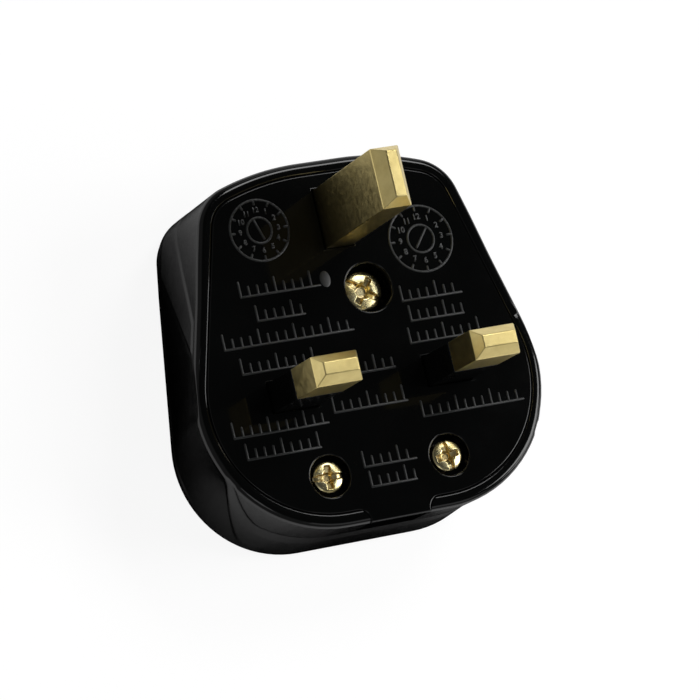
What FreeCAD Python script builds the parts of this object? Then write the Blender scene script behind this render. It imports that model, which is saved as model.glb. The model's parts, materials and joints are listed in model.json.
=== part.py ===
import FreeCAD, Part

import math
import os
import re

# A rewirable three pin mains plug, lying on its flat back with the pins up.
# Origin: middle of the back face, on the line through the live and neutral pins.
# +Z points out of the pin face, +Y towards the earth pin, -Y to the cord entry.
# The live pin stands at -X and the neutral pin at +X.

os.makedirs("parts", exist_ok=True)
doc = FreeCAD.newDocument("three_pin_plug")
sheet = doc.addObject("Spreadsheet::Sheet", "sheet")
Vector = FreeCAD.Vector
UP = Vector(0, 0, 1)

# Driving dimensions in millimetres: name, value and what it measures.
SIZES = [
    ("body_depth", 20.0, "back face to pin face"),
    ("pin_spread", 22.23, "live pin centre to neutral pin centre"),
    ("earth_offset", 22.23, "line of the small pins to the earth pin centre"),
    ("line_pin_width", 6.35, "live and neutral pin, along X"),
    ("line_pin_thickness", 3.97, "live and neutral pin, along Y"),
    ("line_pin_reach", 17.7, "live and neutral pin, out of the pin face"),
    ("line_tip_depth", 1.8, "bevelled end of the small pins"),
    ("line_tip_side", 0.81, "inset of that bevel along X"),
    ("line_tip_edge", 1.17, "inset of that bevel along Y"),
    ("earth_pin_thickness", 3.97, "earth pin, along X"),
    ("earth_pin_width", 7.97, "earth pin, along Y"),
    ("earth_pin_reach", 22.73, "earth pin, out of the pin face"),
    ("earth_tip_depth", 2.05, "bevelled end of the earth pin"),
    ("earth_tip_side", 1.24, "inset of that bevel along X"),
    ("earth_tip_edge", 0.92, "inset of that bevel along Y"),
    ("sleeve_reach", 8.76, "insulating sleeve, out of the pin face"),
    ("sleeve_wall", 0.5, "thickness of the sleeve"),
    ("pin_fit", 0.1, "clearance round a pin in the base"),
    ("earth_to_top", 7.97, "earth pin centre to the top edge of the face"),
    ("face_bottom", 18.2, "pin line to the bottom edge of the face"),
    ("face_half_top", 16.95, "half width where the flank meets the top edge"),
    ("face_half_bottom", 30.1, "half width where the flank meets the bottom edge"),
    ("face_top_round", 6.6, "top corners of the face"),
    ("face_bottom_round", 17.4, "bottom corners of the face"),
    ("face_bow", 8.5, "half width of the level middle of the top edge"),
    ("face_bow_slope", 0.31, "how far the top edge falls beyond that for each mm"),
    ("face_bow_round", 36.0, "rounding where it begins to fall"),
    ("rim_round", 1.2, "rounding of the rim at the pin face"),
    ("grip_taper", 0.141, "how far a grip leans in for each mm of depth"),
    ("grip_slope", 0.145, "how far a grip spreads for each mm along Y"),
    ("grip_half", 24.8, "half width across the grips at the pin face, on the pin line"),
    ("flare_start", 1.5, "pin face to where the shoulders begin"),
    ("back_band", 3.4, "back face to where the shoulders end in the back rim"),
    ("flare_top", 0.5, "how far the back rim stands past the top edge"),
    ("flare_bottom", 0.4, "how far the back rim stands past the bottom edge"),
    ("flare_sink", 0.7, "how far the shoulders begin inside the face outline"),
    ("shoulder_front", 6.0, "Y of the shoulder crease near the pin face"),
    ("shoulder_back", 18.2, "Y of the shoulder crease at the back rim"),
    ("shoulder_inset", 0.1, "how far that crease starts inside the flank"),
    ("shoulder_lean", 0.365, "how far a shoulder closes for each mm along Y, in front"),
    ("shoulder_lean_back", 0.165, "the same at the back rim"),
    ("shoulder_bottom_half", 22.6, "half width of the shoulders' bottom corner in front"),
    ("shoulder_round", 18.5, "bottom corners of the shoulders in front"),
    ("back_bottom_round", 14.4, "bottom corners of the back rim"),
    ("back_top_round", 6.4, "top corners of the back rim"),
    ("back_bow", 4.2, "half width of the level top of the back rim"),
    ("back_bow_slope", 0.25, "how far that top falls beyond it for each mm"),
    ("back_bow_round", 28.0, "rounding where it begins to fall"),
    ("back_edge_round", 3.2, "rounding of the back edge"),
    ("rim_width", 1.75, "cover rim seen round the base"),
    ("base_fit", 0.1, "clearance round the base in the cover"),
    ("base_thickness", 3.0, "base plate"),
    ("back_wall", 2.2, "back wall of the cover"),
    ("top_wall", 3.0, "cover wall at the top edge"),
    ("side_wall", 3.9, "cover wall at the flanks, from the face outline"),
    ("bottom_wall", 3.2, "cover wall at the cord side"),
    ("cavity_top_round", 3.0, "top corners of the cavity"),
    ("tongue_half", 4.4, "half width of the base tongue over the cord"),
    ("tongue_thickness", 1.3, "the tongue, below the pin face"),
    ("tongue_round", 1.6, "inner corners at the root of the tongue"),
    ("cord_floor", 8.0, "pin face to the far lip of the cord entry"),
    ("head_height", 2.5, "brass shoulder of a pin, inside the base"),
    ("terminal_height", 8.5, "terminal blocks, inside the base"),
    ("neutral_block_half", 4.0, "half width of the neutral terminal"),
    ("earth_block_half", 3.5, "half width of the earth terminal, along X"),
    ("earth_block_near", 5.4, "earth pin centre to the near side of its terminal"),
    ("earth_block_far", 4.2, "earth pin centre to the far side of its terminal"),
    ("wire_bore", 3.2, "wire hole of the large terminals"),
    ("live_wire_bore", 2.8, "wire hole of the live terminal"),
    ("wire_depth", 4.1, "base to the middle of a wire hole"),
    ("fuse_length", 25.4, "cartridge fuse over its caps"),
    ("fuse_radius", 3.15, "cap of the cartridge fuse"),
    ("fuse_axis", 8.0, "fuse axis to the middle of the plug"),
    ("fuse_end_gap", 3.2, "far end of the fuse to the top wall of the cavity"),
    ("cap_length", 6.4, "fuse cap"),
    ("cap_wall", 0.35, "wall of a fuse cap"),
    ("barrel_bore", 2.1, "radius of the bore of the ceramic barrel"),
    ("element_radius", 0.25, "fuse wire"),
    ("clip_wall", 0.6, "spring clip"),
    ("clip_length", 5.0, "spring clip along the fuse"),
    ("clip_mouth", 2.0, "half width of the mouth of a clip"),
    ("clip_fit", 0.05, "clearance between a clip and a fuse cap"),
    ("clip_lift", 0.15, "top of a clip's ring, under the top of its foot"),
    ("rivet_radius", 0.8, "rivet of a clip"),
    ("rivet_reach", 1.6, "rivet into the brass under the clip"),
    ("live_block_gap", 0.4, "fuse to the live terminal"),
    ("live_block_width", 4.45, "live terminal, along X"),
    ("live_block_length", 7.0, "live terminal, along Y"),
    ("foot_margin", 0.6, "foot of the live terminal past the far clip"),
    ("foot_lap", 2.45, "that foot over its block, along X"),
    ("foot_overlap", 0.75, "that foot into its block, along Y"),
    ("head_margin", 1.0, "live pin's shoulder past the pin"),
    ("clip_margin", 0.4, "that shoulder past the near clip"),
    ("screw_fit", 0.1, "clearance round a screw"),
    ("thread_radius", 1.45, "terminal and clamp screws"),
    ("terminal_head_radius", 2.2, "head of a terminal screw"),
    ("terminal_head_height", 1.8, "height of that head"),
    ("terminal_grip", 3.6, "terminal screw, into its block"),
    ("cover_screw_offset", 2.75, "cover screw, X"),
    ("cover_screw_rise", 12.3, "cover screw, Y"),
    ("cover_bore_radius", 3.3, "counterbore of the cover screw"),
    ("cover_head_radius", 2.6, "head of the cover screw"),
    ("cover_head_height", 1.8, "height of that head"),
    ("cover_head_sink", 2.0, "pin face to the top of that head"),
    ("cover_thread_radius", 1.7, "shank of the cover screw"),
    ("cover_screw_length", 9.0, "shank of the cover screw"),
    ("boss_radius", 4.5, "boss round the cover screw"),
    ("boss_height", 2.8, "that boss, inside the base"),
    ("washer_thickness", 0.8, "captive washer of the cover screw"),
    ("washer_radius", 3.2, "that washer"),
    ("insert_radius", 2.6, "brass insert in the cover's post"),
    ("insert_length", 8.0, "that insert"),
    ("post_radius", 4.0, "post of the cover"),
    ("clamp_offset", 8.55, "cord clamp screws, X"),
    ("clamp_drop", 11.35, "cord clamp screws below the pin line"),
    ("clamp_bore_radius", 2.8, "counterbore of a clamp screw"),
    ("clamp_head_radius", 2.05, "head of a clamp screw"),
    ("clamp_head_height", 1.6, "height of that head"),
    ("clamp_head_sink", 0.6, "pin face to the top of that head"),
    ("pillar_radius", 3.4, "pillar round a clamp screw"),
    ("clamp_bar_half_length", 11.7, "clamp bar, half its length along X"),
    ("clamp_bar_width", 6.0, "clamp bar along Y"),
    ("clamp_bar_thickness", 3.0, "clamp bar along Z"),
    ("clamp_ridge", 0.6, "ridges of the clamp bar, towards the cord"),
    ("ridge_width", 0.75, "one of those ridges, along Y"),
    ("nut_width", 5.4, "square nut of a clamp screw"),
    ("nut_thickness", 2.2, "that nut"),
    ("screw_end", 0.6, "clamp screw past its nut"),
    ("slot_width", 0.75, "slot in a screw head"),
    ("slot_depth", 0.8, "depth of that slot"),
    ("cross_width", 0.95, "cross recess in a screw head"),
    ("cross_reach", 1.35, "half length of the cross recess"),
    ("cross_depth", 1.1, "depth of that cross"),
    ("nest_wall", 1.2, "walls of the base round the brass"),
    ("nest_height", 2.2, "those walls, inside the base"),
    ("nest_inset", 0.5, "those walls stop short of the ends of the brass"),
    ("cut_margin", 2.0, "how far a cutting shape passes what it cuts"),
]
ALIASES = {alias for alias, value, note in SIZES}

# The part of a straight side that the rounds at its two ends may use up.
SIDE_SHARE = 0.98

for number, (alias, value, note) in enumerate(SIZES, start=1):
    sheet.set(f"A{number}", note)
    sheet.set(f"B{number}", str(value))
    sheet.setAlias(f"B{number}", alias)
doc.recompute()


# The value of a sheet cell.
def size(alias):
    return float(sheet.get(alias))


# A formula of sheet names as an expression that FreeCAD can follow.
def tied(formula):
    def prefixed(word):
        return f"sheet.{word.group()}" if word.group() in ALIASES else word.group()

    return re.sub(r"[a-z_]+", prefixed, str(formula))


def bind(item, **formulas):
    for key, formula in formulas.items():
        item.setExpression(key, tied(formula))


def put(item, x, y, z):
    for axis, formula in zip("xyz", (x, y, z)):
        item.setExpression(f".Placement.Base.{axis}", tied(formula))


# A block from low to high along each axis, every limit a formula.
def block(name, x, y, z):
    item = doc.addObject("Part::Box", name)
    bind(item, Length=f"({x[1]}) - ({x[0]})", Width=f"({y[1]}) - ({y[0]})", Height=f"({z[1]}) - ({z[0]})")
    put(item, x[0], y[0], z[0])
    return item


# An upright rod between two heights.
def rod(name, radius, x, y, z):
    item = doc.addObject("Part::Cylinder", name)
    bind(item, Radius=radius, Height=f"({z[1]}) - ({z[0]})")
    put(item, x, y, z[0])
    return item


# A rod that lies along Y between two limits.
def lying_rod(name, radius, x, y, z):
    item = doc.addObject("Part::Cylinder", name)
    bind(item, Radius=radius, Height=f"({y[1]}) - ({y[0]})")
    item.Placement.Rotation = FreeCAD.Rotation(Vector(1, 0, 0), -90)
    put(item, x, y[0], z)
    return item


def joined(name, pieces):
    item = doc.addObject("Part::MultiFuse", name)
    item.Shapes = pieces
    return item


def less(name, whole, tools):
    item = doc.addObject("Part::Cut", name)
    item.Base = whole
    item.Tool = tools[0] if len(tools) == 1 else joined(f"{name}_tools", tools)
    return item


# Heights that several pieces share, as formulas of the sheet.
FACE = "body_depth"
FACE_TOP = "earth_offset + earth_to_top"
BASE_IN = "body_depth - base_thickness"
HEAD_IN = f"{BASE_IN} - head_height"
BLOCK_IN = f"{BASE_IN} - terminal_height"
WIRE_Z = f"{BASE_IN} - wire_depth"
FUSE_Z = f"{HEAD_IN} - clip_lift - clip_wall - clip_fit - fuse_radius"
CLAMP_TOP = "body_depth - cord_floor"
LINE_X = "pin_spread/2"
FUSE_FAR = f"{FACE_TOP} - top_wall - fuse_end_gap"
FUSE_NEAR = f"{FUSE_FAR} - fuse_length"
FUSE_INNER = "-(fuse_axis - fuse_radius)"

# The middle of each clip along the fuse, in the middle of a fuse cap.
PIN_CLIP_Y = f"{FUSE_NEAR} + cap_length/2"
FAR_CLIP_Y = f"{FUSE_FAR} - cap_length/2"
LIVE_BLOCK_IN = "-(fuse_axis + fuse_radius + live_block_gap)"
LIVE_BLOCK_OUT = f"{LIVE_BLOCK_IN} - live_block_width"
LIVE_BLOCK_HIGH = f"{FAR_CLIP_Y} - clip_length/2 - foot_margin"
LIVE_BLOCK_LOW = f"{LIVE_BLOCK_HIGH} - live_block_length"
LIVE_BLOCK_MIDDLE = (f"({LIVE_BLOCK_OUT} + {LIVE_BLOCK_IN})/2", f"({LIVE_BLOCK_LOW} + {LIVE_BLOCK_HIGH})/2")
EARTH_BLOCK = ("earth_offset - earth_block_near", "earth_offset + earth_block_far")
EARTH_SCREW_Y = f"({EARTH_BLOCK[0]} + {EARTH_BLOCK[1]})/2"


# The tapering bevelled end of a pin, above its straight part.
def pin_tip(name, x, y, half_x, half_y, inset_x, inset_y, base_z, depth):
    tip = doc.addObject("Part::Wedge", name)
    bind(
        tip,
        Xmin=f"-({half_x})", Xmax=half_x, X2min=f"-({half_x} - {inset_x})", X2max=f"{half_x} - {inset_x}",
        Zmin=f"-({half_y})", Zmax=half_y, Z2min=f"-({half_y} - {inset_y})", Z2max=f"{half_y} - {inset_y}",
        Ymin="0", Ymax=depth,
    )
    tip.Placement.Rotation = FreeCAD.Rotation(Vector(1, 0, 0), 90)
    put(tip, x, y, base_z)
    return tip


# The bare end and the slimmer shank, under its sleeve, of a small pin.
def line_blade(name, x):
    half_x = "line_pin_width/2"
    half_y = "line_pin_thickness/2"
    top = f"{FACE} + line_pin_reach - line_tip_depth"
    sleeve_top = f"{FACE} + sleeve_reach"
    bare = block(
        f"{name}_bare",
        (f"{x} - {half_x}", f"{x} + {half_x}"),
        (f"-{half_y}", half_y),
        (sleeve_top, top),
    )
    shank = block(
        f"{name}_shank",
        (f"{x} - {half_x} + sleeve_wall", f"{x} + {half_x} - sleeve_wall"),
        (f"-{half_y} + sleeve_wall", f"{half_y} - sleeve_wall"),
        (BASE_IN, sleeve_top),
    )
    inset = ("line_tip_side", "line_tip_edge")
    tip = pin_tip(f"{name}_tip", x, "0", half_x, half_y, *inset, top, "line_tip_depth")
    return [bare, shank, tip]


# The sleeve lies flush with the bare end and reaches through the base.
def sleeve(name, x):
    half_x = "line_pin_width/2"
    half_y = "line_pin_thickness/2"
    height = (BASE_IN, f"{FACE} + sleeve_reach")
    outer = block(f"{name}_outer", (f"{x} - {half_x}", f"{x} + {half_x}"), (f"-{half_y}", half_y), height)
    inner = block(
        f"{name}_inner",
        (f"{x} - {half_x} + sleeve_wall", f"{x} + {half_x} - sleeve_wall"),
        (f"-{half_y} + sleeve_wall", f"{half_y} - sleeve_wall"),
        height,
    )
    return less(name, outer, [inner])


# The wire hole along Y and the screw hole from the back of a terminal block.
def terminal_holes(name, x, screw_y, low, high, bore):
    wire = lying_rod(f"{name}_wire_hole", f"{bore}/2", x, (low, high), WIRE_Z)
    screw = rod(f"{name}_screw_hole", "thread_radius + screw_fit", x, screw_y, (BLOCK_IN, WIRE_Z))
    return [wire, screw]


# A slotted cheese head screw driven from the back into a terminal block.
def terminal_screw(name, x, y):
    seat = f"{BLOCK_IN} - screw_fit"
    head_end = f"{seat} - terminal_head_height"
    head = rod(f"{name}_head", "terminal_head_radius", x, y, (head_end, seat))
    shank = rod(f"{name}_shank", "thread_radius", x, y, (seat, f"{BLOCK_IN} + terminal_grip"))
    slot = block(
        f"{name}_slot",
        (f"{x} - slot_width/2", f"{x} + slot_width/2"),
        (f"{y} - terminal_head_radius", f"{y} + terminal_head_radius"),
        (head_end, f"{head_end} + slot_depth"),
    )
    return less(name, joined(f"{name}_blank", [head, shank]), [slot])


# A screw seen in the pin face, with a slot across a cross recess.
def face_screw(name, x, y, head_radius, head_height, sink, thread_radius, end):
    top = f"{FACE} - {sink}"
    seat = f"{top} - {head_height}"
    head = rod(f"{name}_head", head_radius, x, y, (seat, top))
    shank = rod(f"{name}_shank", thread_radius, x, y, (end, seat))
    slot = block(
        f"{name}_slot",
        (f"{x} - {head_radius}", f"{x} + {head_radius}"),
        (f"{y} - slot_width/2", f"{y} + slot_width/2"),
        (f"{top} - slot_depth", top),
    )
    arms = (("along", "cross_reach", "cross_width/2"), ("over", "cross_width/2", "cross_reach"))
    cross = [
        block(
            f"{name}_cross_{axis}",
            (f"{x} - {reach_x}", f"{x} + {reach_x}"),
            (f"{y} - {reach_y}", f"{y} + {reach_y}"),
            (f"{top} - cross_depth", top),
        )
        for axis, reach_x, reach_y in arms
    ]
    return less(name, joined(f"{name}_blank", [head, shank]), [slot] + cross)


# How far each corner's round may reach: two rounds that would run into each
# other on the side between them both shrink until they fit.
def fitted_reaches(places, rounds):
    count = len(places)
    reaches = []
    for index, here in enumerate(places):
        to_before = places[index - 1] - here
        to_after = places[(index + 1) % count] - here
        reaches.append(rounds[index] / math.tan(to_before.getAngle(to_after) / 2))
    shares = [1.0] * count
    for index, here in enumerate(places):
        after = (index + 1) % count
        room = SIDE_SHARE * (places[after] - here).Length
        wanted = reaches[index] + reaches[after]
        if wanted > room:
            shares[index] = min(shares[index], room / wanted)
            shares[after] = min(shares[after], room / wanted)
    return [reach * share for reach, share in zip(reaches, shares)]


# A closed wire from the corners of its right half, top to bottom, each with a
# radius, mirrored to the left. A corner with no radius stays sharp.
def outline(corners, z):
    points = corners + [(-x, y, r) for x, y, r in reversed(corners)]
    places = [Vector(x, y, z) for x, y, r in points]
    reaches = fitted_reaches(places, [r for x, y, r in points])
    count = len(points)
    edges = []
    ends = []
    for index, here in enumerate(places):
        to_before = (places[index - 1] - here).normalize()
        to_after = (places[(index + 1) % count] - here).normalize()
        if reaches[index] == 0:
            ends.append((here, here))
            continue
        half = to_before.getAngle(to_after) / 2
        radius = reaches[index] * math.tan(half)
        first = here + to_before * reaches[index]
        last = here + to_after * reaches[index]
        middle_way = (to_before + to_after).normalize()
        centre = here + middle_way * (radius / math.sin(half))
        edges.append(Part.Arc(first, centre - middle_way * radius, last).toShape())
        ends.append((first, last))
    for index in range(count):
        start = ends[index][1]
        stop = ends[(index + 1) % count][0]
        edges.append(Part.LineSegment(start, stop).toShape())
    return Part.Wire(Part.__sortEdges__(edges))


def prism(wire, height):
    return Part.Face(wire).extrude(UP * height)


def face_top():
    return size("earth_offset") + size("earth_to_top")


# How far the flanks open for each mm towards the cord.
def flank_lean():
    return (size("face_half_bottom") - size("face_half_top")) / (face_top() + size("face_bottom"))


# A corner's radius times this is how far its round reaches along either side.
def bottom_reach():
    return 1 / math.tan((math.pi / 2 - math.atan(flank_lean())) / 2)


# The two upper corners of an outline: where its level top begins to fall, and
# where that slope meets the flank. The flank stands at flank_x at the height of
# the top and opens by lean for each mm below it.
def top_corners(bow_x, slope, bow_round, top_y, flank_x, lean, top_round):
    corner_x = (flank_x - lean * slope * bow_x) / (1 - lean * slope)
    return [(bow_x, top_y, bow_round), (corner_x, top_y - slope * (corner_x - bow_x), top_round)]


# The outline of the pin face, moved inwards by its walls. The bottom corners
# leave the straight stretch that the tongue and its round corners need.
def face_corners(side=0.0, top=0.0, bottom=0.0, top_round=None):
    lean = flank_lean()
    half_top = size("face_half_top") + lean * top - side * math.hypot(1, lean)
    half_bottom = size("face_half_bottom") - lean * bottom - side * math.hypot(1, lean)
    top_round = size("face_top_round") - side if top_round is None else top_round
    slope = size("face_bow_slope")
    bow_x = size("face_bow") - top * (math.hypot(1, slope) - 1) / slope
    bow_round = size("face_bow_round") - top
    upper = top_corners(bow_x, slope, bow_round, face_top() - top, half_top, lean, top_round)
    room = (half_bottom - size("tongue_half") - size("tongue_round")) / bottom_reach()
    bottom_round = min(size("face_bottom_round") - side, room)
    return upper + [(half_bottom, -size("face_bottom") + bottom, bottom_round)]


# The base plate with its tongue, or with grow the pocket that takes it.
def base_blank(grow, thickness, tongue_thickness):
    inset = size("rim_width") + size("base_fit") - grow
    depth = size("body_depth")
    plate = prism(outline(face_corners(inset, inset, inset), depth - thickness), thickness)
    half = size("tongue_half") - size("base_fit") + grow
    reach = size("face_bottom") + grow
    root = size("face_bottom") - inset
    tongue = Part.makeBox(
        2 * half, reach - root + inset, tongue_thickness, Vector(-half, -reach, depth - tongue_thickness)
    )
    blank = plate.fuse(tongue).removeSplitter()
    corners = [
        edge
        for edge in blank.Edges
        if abs(edge.BoundBox.XLength) < 0.01
        and abs(edge.BoundBox.YLength) < 0.01
        and abs(abs(edge.CenterOfMass.x) - half) < 0.01
        and abs(edge.CenterOfMass.y + root) < 0.01
    ]
    return blank.makeFillet(size("tongue_round") - grow, corners)


# The round edge of the collar at the pin face.
def collar():
    depth = size("body_depth")
    tall = depth - size("back_band")
    body = prism(outline(face_corners(), depth - tall), tall)
    rim = [edge for edge in body.Edges if edge.BoundBox.ZMin > depth - 0.01]
    return body.makeFillet(size("rim_round"), rim)


# What the two grips leave: their planes lean in towards the back rim.
def grip_limit():
    depth = size("body_depth")
    high = face_top() + size("flare_top")
    low = -size("face_bottom") - size("flare_bottom")
    sections = []
    for z in (depth, size("back_band")):
        half = size("grip_half") - size("grip_taper") * (depth - z)
        top = (half - size("grip_slope") * high, high, 0)
        bottom = (half - size("grip_slope") * low, low, size("back_bottom_round"))
        sections.append(outline([top, bottom], z))
    return Part.makeLoft(sections, True, True)


# The shoulders that grow out of the collar at its corners and end in the back rim.
# Their crease in front lies inside the flank or the grip, whichever is nearer.
def flare():
    depth = size("body_depth")
    front_top = face_top() - size("flare_sink")
    front_bottom = -size("face_bottom") + size("flare_sink")
    crease_y = size("shoulder_front")
    flank_x = size("face_half_top") + flank_lean() * (face_top() - crease_y)
    grip_x = size("grip_half") - size("grip_taper") * size("flare_start") - size("grip_slope") * crease_y
    crease_x = min(flank_x, grip_x) - size("shoulder_inset")
    lean = size("shoulder_lean")
    front_corners = top_corners(
        size("face_bow"),
        size("face_bow_slope"),
        size("face_bow_round") - size("flare_sink"),
        front_top,
        crease_x - lean * (front_top - crease_y),
        lean,
        size("face_top_round") - size("flare_sink"),
    )
    front_corners.append((crease_x, crease_y, 0))
    front_corners.append((size("shoulder_bottom_half"), front_bottom, size("shoulder_round")))
    front = outline(front_corners, depth - size("flare_start"))
    rim_top = face_top() + size("flare_top")
    rim_bottom = -size("face_bottom") - size("flare_bottom")
    rim_z = size("back_band")
    half = size("grip_half") - size("grip_taper") * (depth - rim_z)
    rim_crease_y = size("shoulder_back")
    rim_crease_x = half - size("grip_slope") * rim_crease_y
    lean = size("shoulder_lean_back")
    rim_corners = top_corners(
        size("back_bow"),
        size("back_bow_slope"),
        size("back_bow_round"),
        rim_top,
        rim_crease_x - lean * (rim_top - rim_crease_y),
        lean,
        size("back_top_round"),
    )
    rim_corners.append((rim_crease_x, rim_crease_y, 0))
    rim_corners.append((half - size("grip_slope") * rim_bottom, rim_bottom, size("back_bottom_round")))
    slope = Part.makeLoft([front, outline(rim_corners, rim_z)], True, True)
    rim = prism(outline(rim_corners, 0), rim_z)
    back_edges = [edge for edge in rim.Edges if edge.BoundBox.ZMax < 0.01]
    return slope.fuse(rim.makeFillet(size("back_edge_round"), back_edges))


# The cover: one moulded shell, its post for the cover screw and its cord notch.
def make_cover():
    depth = size("body_depth")
    base_in = depth - size("base_thickness")
    outside = collar().common(grip_limit()).fuse(flare())
    floor = size("back_wall")
    walls = (size("side_wall"), size("top_wall"), size("bottom_wall"))
    cavity_corners = face_corners(*walls, size("cavity_top_round"))
    cavity = prism(outline(cavity_corners, floor), base_in - floor)
    pocket = base_blank(size("base_fit"), size("base_thickness"), size("cord_floor"))
    post_x = size("cover_screw_offset")
    post_y = size("cover_screw_rise")
    post_top = base_in - size("boss_height") - size("washer_thickness")
    post = Part.makeCylinder(size("post_radius"), post_top - floor, Vector(post_x, post_y, floor))
    insert_hole = Part.makeCylinder(
        size("insert_radius"), size("insert_length"), Vector(post_x, post_y, post_top - size("insert_length"))
    )
    shell = outside.cut(pocket).cut(cavity)
    outside_y = -size("face_bottom") - size("cut_margin")
    mouth = Part.makeBox(
        2 * size("tongue_half"),
        size("bottom_wall") + size("cut_margin"),
        size("cord_floor"),
        Vector(-size("tongue_half"), outside_y, depth - size("cord_floor")),
    )
    return shell.cut(mouth).fuse(post).cut(insert_hole).removeSplitter()


# The base: the plate with the pins, pillars for the clamp and nests for the brass.
def make_base():
    depth = size("body_depth")
    base_in = depth - size("base_thickness")
    body = base_blank(0.0, size("base_thickness"), size("tongue_thickness"))
    boss_at = Vector(size("cover_screw_offset"), size("cover_screw_rise"), base_in - size("boss_height"))
    body = body.fuse(Part.makeCylinder(size("boss_radius"), size("boss_height"), boss_at))
    clamp_top = depth - size("cord_floor")
    clamp_places = [Vector(side * size("clamp_offset"), -size("clamp_drop"), 0) for side in (-1, 1)]
    for place in clamp_places:
        pillar = Part.makeCylinder(size("pillar_radius"), base_in - clamp_top, place + UP * clamp_top)
        body = body.fuse(pillar)
    for low_x, high_x, low_y, high_y in nests():
        body = body.fuse(nest(low_x, high_x, low_y, high_y))
    fit = size("pin_fit")
    line_x = size("pin_spread") / 2
    slots = [(side * line_x, 0, size("line_pin_width"), size("line_pin_thickness")) for side in (-1, 1)]
    slots.append((0, size("earth_offset"), size("earth_pin_thickness"), size("earth_pin_width")))
    for x, y, width, length in slots:
        half_x = width / 2 + fit
        half_y = length / 2 + fit
        corner = Vector(x - half_x, y - half_y, base_in)
        body = body.cut(Part.makeBox(2 * half_x, 2 * half_y, size("base_thickness"), corner))
    seat = depth - size("cover_head_sink") - size("cover_head_height")
    bore_at = Vector(size("cover_screw_offset"), size("cover_screw_rise"), seat)
    body = body.cut(Part.makeCylinder(size("cover_bore_radius"), depth - seat, bore_at))
    through = seat - boss_at.z + size("screw_fit")
    body = body.cut(Part.makeCylinder(size("cover_thread_radius") + size("screw_fit"), through, boss_at))
    clamp_seat = depth - size("clamp_head_sink") - size("clamp_head_height")
    for place in clamp_places:
        bore = Part.makeCylinder(size("clamp_bore_radius"), depth - clamp_seat, place + UP * clamp_seat)
        hole_radius = size("thread_radius") + size("screw_fit")
        hole = Part.makeCylinder(hole_radius, depth - clamp_top, place + UP * clamp_top)
        body = body.cut(bore).cut(hole)
    return body.removeSplitter()


# The brass footprints that the base holds in low walls, read from the brass: X and Y limits.
def nests():
    limits = []
    for name in ("neutral_block", "earth_block", "live_head"):
        brass = doc.getObject(name)
        corner = brass.Placement.Base
        limits.append((corner.x, corner.x + brass.Length.Value, corner.y, corner.y + brass.Width.Value))
    return limits


# A wall on the two X sides of a footprint, so that wires pass along Y.
def nest(low_x, high_x, low_y, high_y):
    fit = size("pin_fit")
    wall = size("nest_wall")
    tall = size("nest_height")
    base_in = size("body_depth") - size("base_thickness")
    length = high_y - low_y - 2 * size("nest_inset")
    at_y = low_y + size("nest_inset")
    first = Part.makeBox(wall, length, tall, Vector(low_x - fit - wall, at_y, base_in - tall))
    second = Part.makeBox(wall, length, tall, Vector(high_x + fit, at_y, base_in - tall))
    return first.fuse(second)


# A sub-part whose shape is worked out from the sheet in code.
def worked(name, shape):
    item = doc.addObject("Part::Feature", name)
    item.Shape = shape
    item.Placement = FreeCAD.Placement(Vector(0, 0, 0), FreeCAD.Rotation())
    return item


def make_neutral_pin():
    limits_x = (f"{LINE_X} - neutral_block_half", f"{LINE_X} + neutral_block_half")
    limits_y = ("-neutral_block_half", "neutral_block_half")
    terminal = block("neutral_block", limits_x, limits_y, (BLOCK_IN, BASE_IN))
    blank = joined("neutral_pin_blank", line_blade("neutral_pin", LINE_X) + [terminal])
    return less("neutral_pin", blank, terminal_holes("neutral", LINE_X, "0", *limits_y, "wire_bore"))


def make_earth_pin():
    half_x = "earth_pin_thickness/2"
    half_y = "earth_pin_width/2"
    top = f"{FACE} + earth_pin_reach - earth_tip_depth"
    blade = block(
        "earth_blade",
        (f"-{half_x}", half_x),
        (f"earth_offset - {half_y}", f"earth_offset + {half_y}"),
        (BASE_IN, top),
    )
    inset = ("earth_tip_side", "earth_tip_edge")
    tip = pin_tip("earth_tip", "0", "earth_offset", half_x, half_y, *inset, top, "earth_tip_depth")
    limits_x = ("-earth_block_half", "earth_block_half")
    terminal = block("earth_block", limits_x, EARTH_BLOCK, (BLOCK_IN, BASE_IN))
    blank = joined("earth_pin_blank", [blade, tip, terminal])
    return less("earth_pin", blank, terminal_holes("earth", "0", EARTH_SCREW_Y, *EARTH_BLOCK, "wire_bore"))


# The live pin's shoulder holds the pin and the near clip.
def make_live_pin():
    side = f"-{LINE_X}"
    past_pin = "line_pin_thickness/2 + head_margin"
    past_clip = "clip_length/2 + clip_margin"
    head = block(
        "live_head",
        (f"{side} - line_pin_width/2 - head_margin", FUSE_INNER),
        (f"min(-({past_pin}); {PIN_CLIP_Y} - ({past_clip}))", f"max({past_pin}; {PIN_CLIP_Y} + {past_clip})"),
        (HEAD_IN, BASE_IN),
    )
    blank = joined("live_pin_blank", line_blade("live_pin", side) + [head])
    return less("live_pin", blank, [rivet_rod("live_pin_rivet_hole", PIN_CLIP_Y)])


def make_live_terminal():
    limits_y = (LIVE_BLOCK_LOW, LIVE_BLOCK_HIGH)
    body = block("live_block", (LIVE_BLOCK_OUT, LIVE_BLOCK_IN), limits_y, (BLOCK_IN, BASE_IN))
    foot = block(
        "live_foot",
        (f"{LIVE_BLOCK_IN} - foot_lap", FUSE_INNER),
        (f"{LIVE_BLOCK_HIGH} - foot_overlap", f"{FAR_CLIP_Y} + clip_length/2 + foot_margin"),
        (HEAD_IN, BASE_IN),
    )
    holes = terminal_holes("live", *LIVE_BLOCK_MIDDLE, *limits_y, "live_wire_bore")
    holes.append(rivet_rod("foot_rivet_hole", FAR_CLIP_Y))
    return less("live_terminal", joined("live_terminal_blank", [body, foot]), holes)


def rivet_rod(name, y):
    return rod(name, "rivet_radius", "-fuse_axis", y, (f"{HEAD_IN} - clip_wall", f"{HEAD_IN} + rivet_reach"))


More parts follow.
